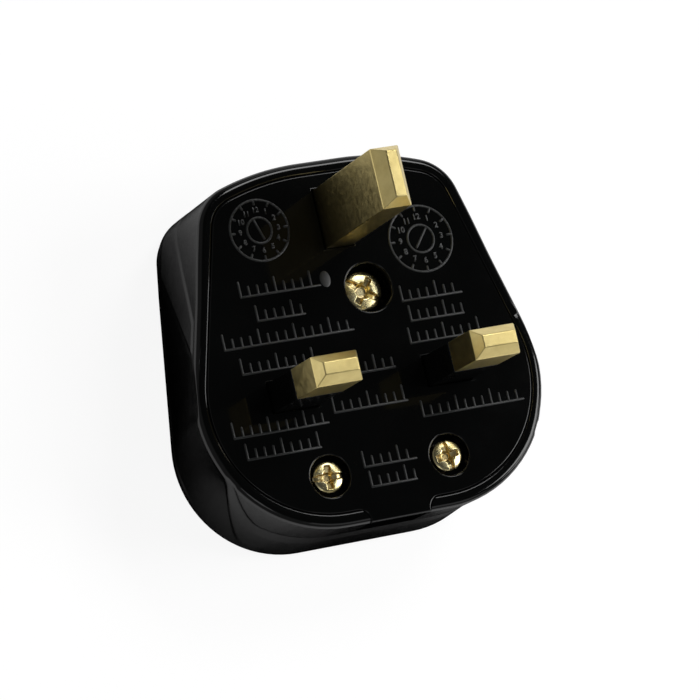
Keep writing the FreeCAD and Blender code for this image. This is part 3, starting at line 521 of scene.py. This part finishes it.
# %% [markdown]
# The skin of the cover is then a stack of rings. They start at the inner lip
# of the rim round the base, go over the rim and down the flank to the back,
# and close at a pole in the middle of the back. A second run of rings goes
# down inside: over the ledge that the base rests on, down the cavity's wall
# and over its floor to a pole. Both runs share the lip, so the shell is closed.

# %% Rings of the cover
CREASE_SOFT, SHOULDER_SOFT = 0.06, 0.1
SHOULDER_TUCK = 6.0
WIDEST_Y, WIDEST_SOFT = -0.8, 0.5
LIP_RINGS, RIM_RINGS, FLANK_RINGS, BACK_RINGS = 5, 14, 97, 12
GROOVE_RINGS, CAVITY_RINGS = 4, 6
BACK_SHARES, FLOOR_SHARES = (0.75, 0.5, 0.25, 0.0), (0.66, 0.33, 0.0)
QUARTER = math.pi / 2


def outside_rings(angles):
    """(radius, z) rings from the lip to the back pole. Over the rim the face outline is inset by
    r (1 - sin t) at depth r (1 - cos t). Down the flank the radius is max(face cut by the grips, shoulder)
    towards the earth pin, and lower_flank towards the cord. The back edge is a quarter round."""
    rings = []
    for t in np.linspace(0, QUARTER, LIP_RINGS):
        inset = RIM_WIDTH - LIP_ROUND * (1 - math.cos(t))
        rings.append((radii(face_outline(inset), angles), depth - LIP_ROUND * (1 - math.sin(t))))
    front, rim = radii(shoulder_front(), angles), radii(back_rim(), angles)
    grip_top = radii(grip_outline(depth), angles)
    turn = np.linspace(0, QUARTER, RIM_RINGS)
    flank = np.linspace(depth - RIM_ROUND, BACK_BAND, FLANK_RINGS)[1:]
    heights = [depth - RIM_ROUND * (1 - math.cos(t)) for t in turn] + list(flank)
    insets = [RIM_ROUND * (1 - math.sin(t)) for t in turn] + [0.0] * len(flank)
    start = depth - FLARE_START
    for z, inset in zip(heights, insets):
        face = radii(face_outline(inset), angles)
        y = CENTRE_Y + face * np.sin(angles)
        collar = smooth_min(face, radii(grip_outline(z), angles), CREASE_SOFT)
        share = (start - z) / (start - BACK_BAND)
        shoulder = front + (rim - front) * share - SHOULDER_TUCK * max(0.0, -share)
        upper = smooth_max(collar + upper_shoulders(y, z), shoulder, SHOULDER_SOFT)
        lower = lower_flank(face, smooth_min(face, grip_top, CREASE_SOFT), rim, y, z)
        both = upper + (lower - upper) * step_up(WIDEST_Y - y, WIDEST_SOFT)
        rings.append((both - foot_ledge(y, z), z))
    for t in np.linspace(0, QUARTER, BACK_RINGS):
        inset = BACK_ROUND * (1 - math.cos(t))
        z = (BACK_BAND - BACK_ROUND) * (1 - t / QUARTER) + BACK_ROUND * (1 - math.sin(t))
        rings.append((radii(back_rim(inset), angles), z))
    last = rings[-1][0]
    return rings + [(last * share, 0.0) for share in BACK_SHARES]


def inside_rings(angles):
    """(radius, z) rings from the lip over the ledge and the cavity's wall and floor to the pole inside."""
    lip, ledge = radii(face_outline(RIM_WIDTH), angles), depth - PLATE
    cavity = radii(face_outline(CAVITY_INSET), angles)
    rings = [(lip, z) for z in np.linspace(depth - LIP_DEPTH, ledge, GROOVE_RINGS)]
    rings += [(cavity, z) for z in np.linspace(ledge, FLOOR, CAVITY_RINGS)]
    return rings + [(cavity * share, FLOOR) for share in FLOOR_SHARES]


def ring_points(rings, angles):
    """Grid of points in metres: one row for each ring, one column for each direction."""
    radius = np.array([r for r, z in rings])
    z = np.array([np.full(len(angles), z) for r, z in rings])
    return np.stack([radius * np.cos(angles), CENTRE_Y + radius * np.sin(angles), z], axis=-1) * MM


def grid_mesh(name, grid, smooth=True):
    """A mesh from a grid of points whose columns close on themselves. A row of one repeated point becomes
    a pole."""
    rows, columns = grid.shape[:2]
    index = np.arange(rows * columns).reshape(rows, columns)
    ring = np.roll(index, -1, axis=1)
    faces = np.stack([index[:-1], ring[:-1], ring[1:], index[1:]], axis=-1).reshape(-1, 4)
    mesh = bpy.data.meshes.new(name)
    mesh.from_pydata(grid.reshape(-1, 3).tolist(), [], faces.tolist())
    shape = bmesh.new()
    shape.from_mesh(mesh)
    bmesh.ops.remove_doubles(shape, verts=shape.verts, dist=1e-7)
    bmesh.ops.dissolve_degenerate(shape, edges=shape.edges, dist=1e-8)
    bmesh.ops.recalc_face_normals(shape, faces=shape.faces)
    shape.to_mesh(mesh)
    shape.free()
    if smooth:
        mesh.shade_smooth()
    return mesh


def new_piece(name, mesh, material, slot, *nodes):
    """Puts a mesh in the scene as a piece that rides on the body and has one finish. It stands for the CAD
    nodes named, if any."""
    piece = bpy.data.objects.new(name, mesh)
    bpy.context.scene.collection.objects.link(piece)
    mesh.materials.clear()
    mesh.materials.append(material)
    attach(piece, "root")
    if nodes:
        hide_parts(*nodes)
    return piece


rings = list(reversed(inside_rings(angles))) + outside_rings(angles)
cover_mesh = grid_mesh("cover_shell", ring_points(rings, angles))
print("cover:", len(cover_mesh.vertices), "points,", len(rings), "rings")

# %% [markdown]
# The cord enters through a notch in the bottom wall. It is cut with a tool
# whose plan flares where it meets the groove round the base, as the mould does,
# so that the tongue of the base fits in it with round corners at its root.

# %% The cord notch
TONGUE_HALF, TONGUE_FLARE = 4.4, 1.5
NOTCH_OUT_Y, GROOVE_REACH = -26.0, 1.6
CORD_FLOOR = 8.0
COVER_SHARP_DEGREES = 38


def prism_mesh(name, plan, low, high):
    """A closed prism over a plan of (x, y) points in mm, from height low to height high."""
    grid = np.array([np.column_stack([plan, np.full(len(plan), z)]) for z in (low, high)]) * MM
    mesh = grid_mesh(name, grid, smooth=False)
    shape = bmesh.new()
    shape.from_mesh(mesh)
    bmesh.ops.holes_fill(shape, edges=[e for e in shape.edges if e.is_boundary], sides=0)
    bmesh.ops.recalc_face_normals(shape, faces=shape.faces)
    shape.to_mesh(mesh)
    shape.free()
    return mesh


def cut(piece, tool_mesh):
    """Takes a tool's shape out of a piece for good, so that no modifier is left on it."""
    tool = bpy.data.objects.new("tool", tool_mesh)
    bpy.context.scene.collection.objects.link(tool)
    boolean = piece.modifiers.new("cut", "BOOLEAN")
    boolean.operation = "DIFFERENCE"
    boolean.solver = "EXACT"
    boolean.object = tool
    made = bpy.data.meshes.new_from_object(piece.evaluated_get(bpy.context.evaluated_depsgraph_get()))
    piece.modifiers.clear()
    bpy.data.objects.remove(tool)
    made.name = piece.data.name
    piece.data = made


cover = new_piece("cover_shell", cover_mesh, black_thermoset, "black_plastic", "cover")
root_y = -FACE_BOTTOM + RIM_WIDTH
bend = np.linspace(math.pi, math.pi / 2, 8)
right = np.column_stack([
    TONGUE_HALF + TONGUE_FLARE * (1 + np.cos(bend)),
    root_y - TONGUE_FLARE * (1 - np.sin(bend)),
])
half_plan = np.vstack([
    [(TONGUE_HALF, NOTCH_OUT_Y)], right, [(TONGUE_HALF + TONGUE_FLARE, root_y + GROOVE_REACH)],
])
plan = np.vstack([half_plan, half_plan[::-1] * (-1, 1)])
cut(cover, prism_mesh("notch_tool", plan, depth - CORD_FLOOR, depth + 1))
cover.data.shade_smooth()
cover.data.set_sharp_from_angle(angle=math.radians(COVER_SHARP_DEGREES))
print("cover after the notch:", len(cover.data.polygons), "faces")

# %% [markdown]
# The base, the pins and their sleeves already have their true shape in CAD,
# but its edges are ideally sharp, and on real parts the finest rounding is
# what catches the light. So each gets a copy of its CAD mesh: doubles merged,
# flat faces joined again, and the chosen sharp edges bevelled.

# %% Eased copies of CAD nodes
FLAT_DEGREES, SHARP_DEGREES = 0.8, 35
VIEW_MARGIN = 0.02


def in_view(edge):
    """True for an edge whose middle is in or above the pin face."""
    return (edge.verts[0].co.z + edge.verts[1].co.z) / 2 / MM > depth - VIEW_MARGIN


def eased_copy(node, width, material, slot, segments=3, least=SHARP_DEGREES):
    """A copy of a CAD node. Its edges in view that turn by at least so many degrees are rounded over width
    mm, and the large flat faces keep their own direction in the shading."""
    mesh = frame["nodes"][node].data.copy()
    shape = bmesh.new()
    shape.from_mesh(mesh)
    bmesh.ops.remove_doubles(shape, verts=shape.verts, dist=1e-6)
    bmesh.ops.dissolve_limit(
        shape, angle_limit=math.radians(FLAT_DEGREES), verts=shape.verts, edges=shape.edges
    )
    sharp = [
        edge for edge in shape.edges
        if len(edge.link_faces) == 2 and edge.calc_face_angle(0) > math.radians(least) and in_view(edge)
    ]
    bmesh.ops.bevel(
        shape, geom=sharp, offset=width * MM, segments=segments, profile=0.5, affect="EDGES",
        clamp_overlap=False,
    )
    shape.to_mesh(mesh)
    shape.free()
    mesh.shade_smooth()
    mesh.set_sharp_from_angle(angle=math.radians(SHARP_DEGREES))
    piece = new_piece(node + "_eased", mesh, material, slot, node)
    weigh = piece.modifiers.new("even_normals", "WEIGHTED_NORMAL")
    weigh.keep_sharp = True
    weigh.weight = 100
    print(piece.name, len(mesh.polygons), "faces,", len(sharp), "edges rounded")


eased_copy("base", 0.2, black_thermoset, "black_plastic")
for pin in ("earth_pin", "neutral_pin", "live_pin"):
    eased_copy(pin, 0.12, pin_brass, "pin_brass", least=18)
for sleeve in ("neutral_pin_sleeve", "live_pin_sleeve"):
    eased_copy(sleeve, 0.1, sleeve_plastic, "sleeve_plastic", segments=2)

# %% [markdown]
# Each screw in the face has a low domed head with a driver slot across a
# cross recess. A head like that is a height over a disc: a shallow dome, with
# the slot and the four arms of the cross sunk into it, and the cross getting
# deeper towards the middle. Every screw was driven home by hand, so each one
# stopped at its own angle.

# %% Screw heads
SLOT_DEEP, SLOT_HALF, SLOT_SOFT = 0.45, 0.33, 0.02
ARM_DEEP, ARM_DEEPER = 0.3, 0.9
ARM_HALF, ARM_SOFT = 0.4, 0.025
TIP_SHARE, TIP_SOFT = 0.74, 0.03
WELL_DEEP, WELL_SHARE, WELL_SOFT = 1.2, 0.36, 0.06
DOME_FALL, DOME_CUT, DOME_POWER = 0.42, 0.86, 3.2
LEAST_HEAD = 0.1
HEAD_WAYS, HEAD_STEPS, STEP_POWER = 320, 84, 0.9
FINE_SHARP_DEGREES = 50
SCREWS = {
    "cover_screw": {"turn": -37, "height": 1.8, "shank": 1.7},
    "cord_clamp_screw_live_side": {"turn": -2, "height": 1.6, "shank": 1.45},
    "cord_clamp_screw_neutral_side": {"turn": -81, "height": 1.6, "shank": 1.45},
}


def inside(value, limit, soft):
    """1 where value lies within limit of zero and 0 past it: 1 / (1 + exp((|value| - limit) / soft))."""
    return 1 / (1 + np.exp((np.abs(value) - limit) / soft))


def recess_depth(along, across, radius):
    """Depth in mm of the driver recess at (along, across) the slot. The slot has a flat floor, an arm of the
    cross deepens from ARM_DEEP at its tip to ARM_DEEP + ARM_DEEPER in the middle, where a well joins the
    arms. The largest of them counts, and every wall is drawn out over a few hundredths."""
    slot = SLOT_DEEP * inside(across, SLOT_HALF, SLOT_SOFT)
    reach = TIP_SHARE * radius
    off = np.hypot(along, across)
    slope = ARM_DEEP + ARM_DEEPER * np.clip(1 - off / reach, 0, 1)
    arm_across = inside(along, ARM_HALF, ARM_SOFT) * inside(across, reach, TIP_SOFT)
    arm_along = inside(across, ARM_HALF, ARM_SOFT) * inside(along, reach, TIP_SOFT)
    well = WELL_DEEP * inside(off, WELL_SHARE * radius, WELL_SOFT)
    return np.maximum(np.maximum(slot, well), slope * np.maximum(arm_across, arm_along))


def turned_screw(node, turn, height, shank):
    """A screw in the CAD node's box as rings. The head's face is a height field over a disc of radius R,
    top - DOME_FALL (1 - sqrt(1 - DOME_CUT (r / R)^DOME_POWER)) - recess. Then come its side, its underside
    and the shank down to a pole."""
    low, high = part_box(node)
    radius = (high.x - low.x) / 2 / MM
    at_x, at_y = (low.x + high.x) / 2 / MM, (low.y + high.y) / 2 / MM
    top, end = high.z / MM, low.z / MM
    ways = np.linspace(0, 2 * np.pi, HEAD_WAYS, endpoint=False)
    steps = np.linspace(0, 1, HEAD_STEPS)[1:] ** STEP_POWER
    r, way = np.meshgrid(steps * radius, ways, indexing="ij")
    along, across = r * np.cos(way), r * np.sin(way)
    dome = DOME_FALL * (1 - np.sqrt(1 - DOME_CUT * (r / radius) ** DOME_POWER))
    field = top - dome - recess_depth(along, across, radius)
    under = top - height
    centre = np.zeros((1, HEAD_WAYS, 3))
    centre[..., 2] = top - recess_depth(np.zeros(1), np.zeros(1), radius)
    rows = [centre, np.stack([along, across, np.maximum(field, under + LEAST_HEAD)], axis=-1)]
    for ring_radius, z in ((radius, under), (shank, under), (shank, end), (0.0, end)):
        level = np.full(HEAD_WAYS, z)
        ring = np.stack([ring_radius * np.cos(ways), ring_radius * np.sin(ways), level], axis=-1)
        rows.append(ring[None])
    grid = np.vstack(rows)
    cos, sin = math.cos(math.radians(turn)), math.sin(math.radians(turn))
    x = at_x + grid[..., 0] * cos - grid[..., 1] * sin
    y = at_y + grid[..., 0] * sin + grid[..., 1] * cos
    mesh = grid_mesh(node + "_turned", np.stack([x, y, grid[..., 2]], axis=-1) * MM)
    mesh.set_sharp_from_angle(angle=math.radians(FINE_SHARP_DEGREES))
    piece = new_piece(node + "_turned", mesh, screw_brass, "screw_brass", node)
    print(piece.name, "radius", round(radius, 2), "mm, slot at", turn, "degrees")


for node, sizes in SCREWS.items():
    turned_screw(node, **sizes)

# %% [markdown]
# The mould leaves raised marks on the pin face. Here they are generic: two
# dials with the numbers 1 to 12, such as a toolmaker puts in a mould, and
# rulers of plain strokes. A stroke is a round bar that lies a little more than
# half sunk in the face. There is also the small oval where an ejector pushed
# the part out.

# %% Strokes and numbers
STROKE = 0.2
STROKE_SINK = 0.06
NUMBER_RAISE, NUMBER_HALF, NUMBER_EDGE = 0.04, 0.05, 0.05
CAPITAL_SHARE = 0.7


def stroke_grid(start, stop, steps=10, cap_rings=4):
    """A bar between two points with round ends: rings of radius r cos(a) at r sin(a) past each end."""
    start, stop = np.array([*start, depth - STROKE_SINK]), np.array([*stop, depth - STROKE_SINK])
    way = (stop - start) / np.linalg.norm(stop - start)
    side = np.array([-way[1], way[0], 0.0])
    cap = np.linspace(math.pi / 2, 0, cap_rings)
    shift = np.concatenate([-STROKE * np.sin(cap), STROKE * np.sin(cap[::-1])])
    radius = STROKE * np.concatenate([np.cos(cap), np.cos(cap[::-1])])
    at_start = np.arange(2 * cap_rings)[:, None] < cap_rings
    middle = np.where(at_start, start, stop) + shift[:, None] * way
    turn = np.linspace(0, 2 * np.pi, steps, endpoint=False)
    ring = np.cos(turn)[:, None] * side + np.sin(turn)[:, None] * np.array([0.0, 0.0, 1.0])
    return middle[:, None, :] + radius[:, None, None] * ring


def ring_strokes(x, y, radius, count=40):
    """Strokes that make a circle."""
    turn = np.linspace(0, 2 * np.pi, count + 1)
    points = np.column_stack([x + radius * np.cos(turn), y + radius * np.sin(turn)])
    return list(zip(points[:-1], points[1:]))


def number_mesh(label, x, y, height):
    """A plain number as a mesh, raised on the pin face."""
    text = bpy.data.curves.new("number", "FONT")
    text.body = label
    text.size = height * MM / CAPITAL_SHARE
    text.align_x, text.align_y = "CENTER", "CENTER"
    text.extrude, text.bevel_depth, text.bevel_resolution = NUMBER_HALF * MM, NUMBER_EDGE * MM, 1
    holder = bpy.data.objects.new("number", text)
    bpy.context.scene.collection.objects.link(holder)
    mesh = bpy.data.meshes.new_from_object(holder.evaluated_get(bpy.context.evaluated_depsgraph_get()))
    bpy.data.objects.remove(holder)
    mesh.transform(Matrix.Translation(Vector((x, y, depth + NUMBER_RAISE)) * MM))
    return mesh


def ruler(x, y, length, step=1.25, tall=2.0, short=0.62, every=4):
    """A base line with upright strokes. Every fourth one is full height, and the rest a share of it."""
    low = y - tall / 2
    strokes = [((x, low), (x + length, low))]
    for number in range(int(length / step + 0.01) + 1):
        at_x = x + number * step
        high = tall if number % every == 0 else tall * short
        strokes.append(((at_x, low), (at_x, low + high)))
    return strokes


print("a stroke stands", round(STROKE - STROKE_SINK, 2), "mm above the pin face")

# %% [markdown]
# A dial has two circles with twelve ticks, a pointer across its middle and the
# numbers in between, and its inner sizes are shares of its radius. DIALS holds
# x, y, radius and the pointer's angle, and RULERS holds x, y and length in mm.

# %% Dials, rulers and the face's one mesh of marks
INNER_SHARE, TICK_SHARE = 0.42, 0.86
POINTER_BACK, POINTER_FRONT = 0.3, 0.36
NUMBER_SHARE, NUMBER_HEIGHT = 0.66, 0.17
EJECTOR_X, EJECTOR_Y = -3.1, 14.28
EJECTOR_HALF_X, EJECTOR_HALF_Y, EJECTOR_RAISE = 0.75, 1.1, 0.05


def dial(x, y, radius, pointer):
    """The strokes of a dial whose pointer makes an angle of pointer radians with X."""
    strokes = ring_strokes(x, y, radius) + ring_strokes(x, y, radius * INNER_SHARE, 24)
    for hour in range(12):
        way = np.array([math.sin(hour * math.pi / 6), math.cos(hour * math.pi / 6)])
        strokes.append(((x, y) + way * radius * TICK_SHARE, (x, y) + way * radius))
    way = np.array([math.cos(pointer), math.sin(pointer)])
    strokes.append(((x, y) - way * radius * POINTER_BACK, (x, y) + way * radius * POINTER_FRONT))
    return strokes


DIALS = [(-10.6, 22.0, 4.1, 1.9), (11.6, 17.6, 4.5, 0.9)]
RULERS = [
    (-15.2, 14.6, 11.2), (-13.6, 11.2, 6.6), (-19.0, 8.1, 18.2), (-17.3, 4.6, 11.2), (7.0, 10.7, 8.6),
    (7.6, 7.9, 7.6), (6.8, 5.0, 10.4), (-4.0, 2.3, 7.8), (-6.0, -2.3, 10.4), (-20.4, -3.4, 13.2),
    (-19.2, -6.4, 10.2), (6.2, -4.8, 14.6), (-3.6, -10.0, 7.4), (-3.2, -12.7, 6.4),
]
marks = bmesh.new()
for x, y, radius, pointer in DIALS:
    for hour in range(1, 13):
        angle = hour * math.pi / 6
        at_x = x + radius * NUMBER_SHARE * math.sin(angle)
        at_y = y + radius * NUMBER_SHARE * math.cos(angle)
        marks.from_mesh(number_mesh(str(hour), at_x, at_y, radius * NUMBER_HEIGHT))
strokes = [s for x, y, radius, pointer in DIALS for s in dial(x, y, radius, pointer)]
strokes += [s for x, y, length in RULERS for s in ruler(x, y, length)]
for start, stop in strokes:
    marks.from_mesh(grid_mesh("stroke", stroke_grid(start, stop) * MM))
turn = np.linspace(0, 2 * np.pi, 40, endpoint=False)
rise = np.linspace(-1, 1, 9)[:, None]
round_share = np.sqrt(1 - rise ** 2)
oval = np.stack([
    EJECTOR_X + EJECTOR_HALF_X * round_share * np.cos(turn),
    EJECTOR_Y + EJECTOR_HALF_Y * round_share * np.sin(turn),
    depth + EJECTOR_RAISE * rise + 0 * turn,
], axis=-1)
marks.from_mesh(grid_mesh("ejector", oval * MM))
bmesh.ops.remove_doubles(marks, verts=marks.verts, dist=1e-7)
marks_mesh = bpy.data.meshes.new("face_marks")
marks.to_mesh(marks_mesh)
marks.free()
marks_mesh.shade_smooth()
marks_mesh.set_sharp_from_angle(angle=math.radians(FINE_SHARP_DEGREES))
new_piece("face_marks", marks_mesh, mark_plastic, "black_plastic")
print("marks:", len(strokes), "strokes,", len(marks_mesh.polygons), "faces")

# %% [markdown]
# What stays as CAD made it is hidden inside the plug, or round and plain. It
# only needs its finish.

# %% Finishes of the CAD nodes
SLOT_FINISH = {
    "black_plastic": black_thermoset, "sleeve_plastic": sleeve_plastic, "pin_brass": pin_brass,
    "screw_brass": screw_brass, "clip_bronze": clip_bronze, "fuse_ceramic": fuse_ceramic,
    "fuse_cap_metal": cap_metal, "clamp_fibre": clamp_fibre,
}
for part in frame["record"]["subparts"]:
    materials = frame["nodes"][part["node"]].data.materials
    materials.clear()
    materials.append(SLOT_FINISH[part["material_slot"]])
print("finished", len(frame["nodes"]), "nodes")

# %% [markdown]
# The plug lies on a white sweep. The sweep is white where the camera sees it
# and keeps the shadow. Reflections see it too, but there a shadow is painted on it
# where the plug stands over it, and a pool of light is painted on it that fades out
# away from the middle of the floor, where the plug stands, or the flanks of black
# plastic and the ends of the pins would be far too bright.

# %% The floor
FLOOR_SIZE = 6.0
FLOOR_GLOW = 0.9
FLOOR_MATT = 0.22
CONTACT = 0.08
SKY_LEAST = 0.62
POOL_NEAR, POOL_FAR, POOL_EDGE = 0.06, 0.34, 0.2


def white_floor():
    """White for the camera and for reflections. A share of plain diffuse light keeps the shadow. What a
    reflection sees carries a painted shadow, which fades it with the open sky over each spot, as shade does
    under a real object, by ((AO - a) / (1 - a))^2 where a is SKY_LEAST. It also carries a painted pool of
    light, which fades it from POOL_NEAR to POOL_FAR metres away."""
    material, tree, output = new_material("white_sweep")
    path = add(tree, "ShaderNodeLightPath")
    # Painted shadow for reflections: the open sky over each spot, found by ambient occlusion and squared.
    near = add(tree, "ShaderNodeAmbientOcclusion", samples=12, Distance=CONTACT)
    sky = add(
        tree, "ShaderNodeMapRange", {"Value": near.outputs["AO"]},
        From_Min=SKY_LEAST, From_Max=1.0, To_Min=0.0, To_Max=1.0,
    )
    contact_shade = add(
        tree, "ShaderNodeMath", {0: sky.outputs["Result"], 1: sky.outputs["Result"]}, operation="MULTIPLY"
    )
    plain = add(
        tree, "ShaderNodeMath",
        {0: path.outputs["Is Camera Ray"], 1: path.outputs["Is Transmission Ray"]}, operation="MAXIMUM",
    )
    # Painted pool of light for reflections: full near the middle of the floor, dimmer further out.
    spot = add(tree, "ShaderNodeTexCoord").outputs["Object"]
    away = add(tree, "ShaderNodeVectorMath", {0: spot}, operation="LENGTH")
    pool = add(
        tree, "ShaderNodeMapRange", {"Value": away.outputs["Value"]},
        From_Min=POOL_NEAR, From_Max=POOL_FAR, To_Min=1.0, To_Max=POOL_EDGE,
    )
    shade_and_pool = add(
        tree, "ShaderNodeMath", {0: contact_shade.outputs["Value"], 1: pool.outputs["Result"]}, operation="MULTIPLY"
    )
    mirrored = add(
        tree, "ShaderNodeMath", {0: path.outputs["Is Glossy Ray"], 1: shade_and_pool.outputs["Value"]},
        operation="MULTIPLY",
    )
    share = add(
        tree, "ShaderNodeMath", {0: plain.outputs["Value"], 1: mirrored.outputs["Value"]},
        operation="MAXIMUM",
    )
    white = add(tree, "ShaderNodeEmission")
    white.inputs["Color"].default_value = (FLOOR_GLOW, FLOOR_GLOW, FLOOR_GLOW, 1)
    tree.links.new(share.outputs["Value"], white.inputs["Strength"])
    # For reflections the diffuse share is darkened by the same painted shadow.
    faded = add(
        tree, "ShaderNodeMix", {"Factor": path.outputs["Is Glossy Ray"], "B": contact_shade.outputs["Value"]},
        data_type="FLOAT", A=1.0,
    )
    colour = add(tree, "ShaderNodeMath", {0: faded.outputs["Result"]}, operation="MULTIPLY")
    colour.inputs[1].default_value = FLOOR_MATT
    matt = add(tree, "ShaderNodeBsdfDiffuse", {"Color": colour.outputs["Value"]})
    both = add(tree, "ShaderNodeAddShader", {0: matt.outputs["BSDF"], 1: white.outputs["Emission"]})
    tree.links.new(both.outputs["Shader"], output.inputs["Surface"])
    return material


corners = np.array([(-1, -1, 0), (1, -1, 0), (1, 1, 0), (-1, 1, 0)]) * FLOOR_SIZE
floor_mesh = bpy.data.meshes.new("floor")
floor_mesh.from_pydata(corners.tolist(), [], [(0, 1, 2, 3)])
floor_mesh.materials.append(white_floor())
floor = bpy.data.objects.new("floor", floor_mesh)
bpy.context.scene.collection.objects.link(floor)
print("the floor is", 2 * FLOOR_SIZE, "m wide")

# %% [markdown]
# The light is soft studio light from a few lamps and a dim sky. The lamps show
# in the mirror of the plastic, so they stand where edges, flanks and brass
# reflect them and the pin face doesn't. In the direction FLAG, which the pin
# face mirrors, the sky is darkened too, as with a black flag over the table,
# and that keeps the face black. LAMPS holds each lamp's name, direction, width
# and length in metres, and power in watts.

# %% Lamps and sky
LAMP_DISTANCE = 1.1
LAMP_TARGET, LAMP_UP = Vector((0, 0, 0.02)), Vector((0.1, 1, 0.2)).normalized()
LAMPS = [
    ("above", (0.667, -0.06, 0.742), 0.42, 0.42, 3.0),
    ("above_back", (0.407, 0.449, 0.795), 0.35, 0.35, 2.2),
    ("side_right", (0.9, -0.3, 0.45), 0.4, 0.5, 1.5),
    ("low_front", (0.35, -0.75, 0.56), 0.7, 0.4, 0.4),
    ("low_left", (-0.3, -0.55, 0.79), 0.3, 0.3, 0.3),
    ("low_back", (0.4, 0.86, 0.35), 0.6, 0.5, 0.35),
]
SKY_GLOW = 0.16
FLAG, FLAG_GLOW = (0.39, 0.14, 0.91), 0.02
FLAG_EDGE, FLAG_CORE = 0.5, 0.8


def softbox(name, direction, width, length, power):
    """A rectangular lamp in a direction from the plug, facing it."""
    lamp = bpy.data.lights.new(name, "AREA")
    lamp.shape = "RECTANGLE"
    lamp.size, lamp.size_y = width, length
    lamp.energy = power
    holder = bpy.data.objects.new(name, lamp)
    bpy.context.scene.collection.objects.link(holder)
    place = Vector(direction).normalized() * LAMP_DISTANCE
    holder.matrix_world = aim(place, LAMP_TARGET, LAMP_UP)


for settings in LAMPS:
    softbox(*settings)

world = bpy.data.worlds.new("dim_studio")
bpy.context.scene.world = world
world.use_nodes = True
sky_tree = world.node_tree
way_out = add(sky_tree, "ShaderNodeTexCoord").outputs["Generated"]
near_flag = add(sky_tree, "ShaderNodeVectorMath", {0: way_out}, operation="DOT_PRODUCT")
near_flag.inputs[1].default_value = Vector(FLAG).normalized()
dome = add(
    sky_tree, "ShaderNodeMapRange", {"Value": near_flag.outputs["Value"]},
    From_Min=FLAG_EDGE, From_Max=FLAG_CORE, To_Min=SKY_GLOW, To_Max=FLAG_GLOW,
)
sky_tree.links.new(dome.outputs["Result"], sky_tree.nodes["Background"].inputs["Strength"])
sky_tree.nodes["Background"].inputs["Color"].default_value = (1, 1, 1, 1)
bpy.context.scene.view_settings.view_transform = "Standard"
print("lamps:", len(LAMPS), "and a sky of strength", SKY_GLOW)
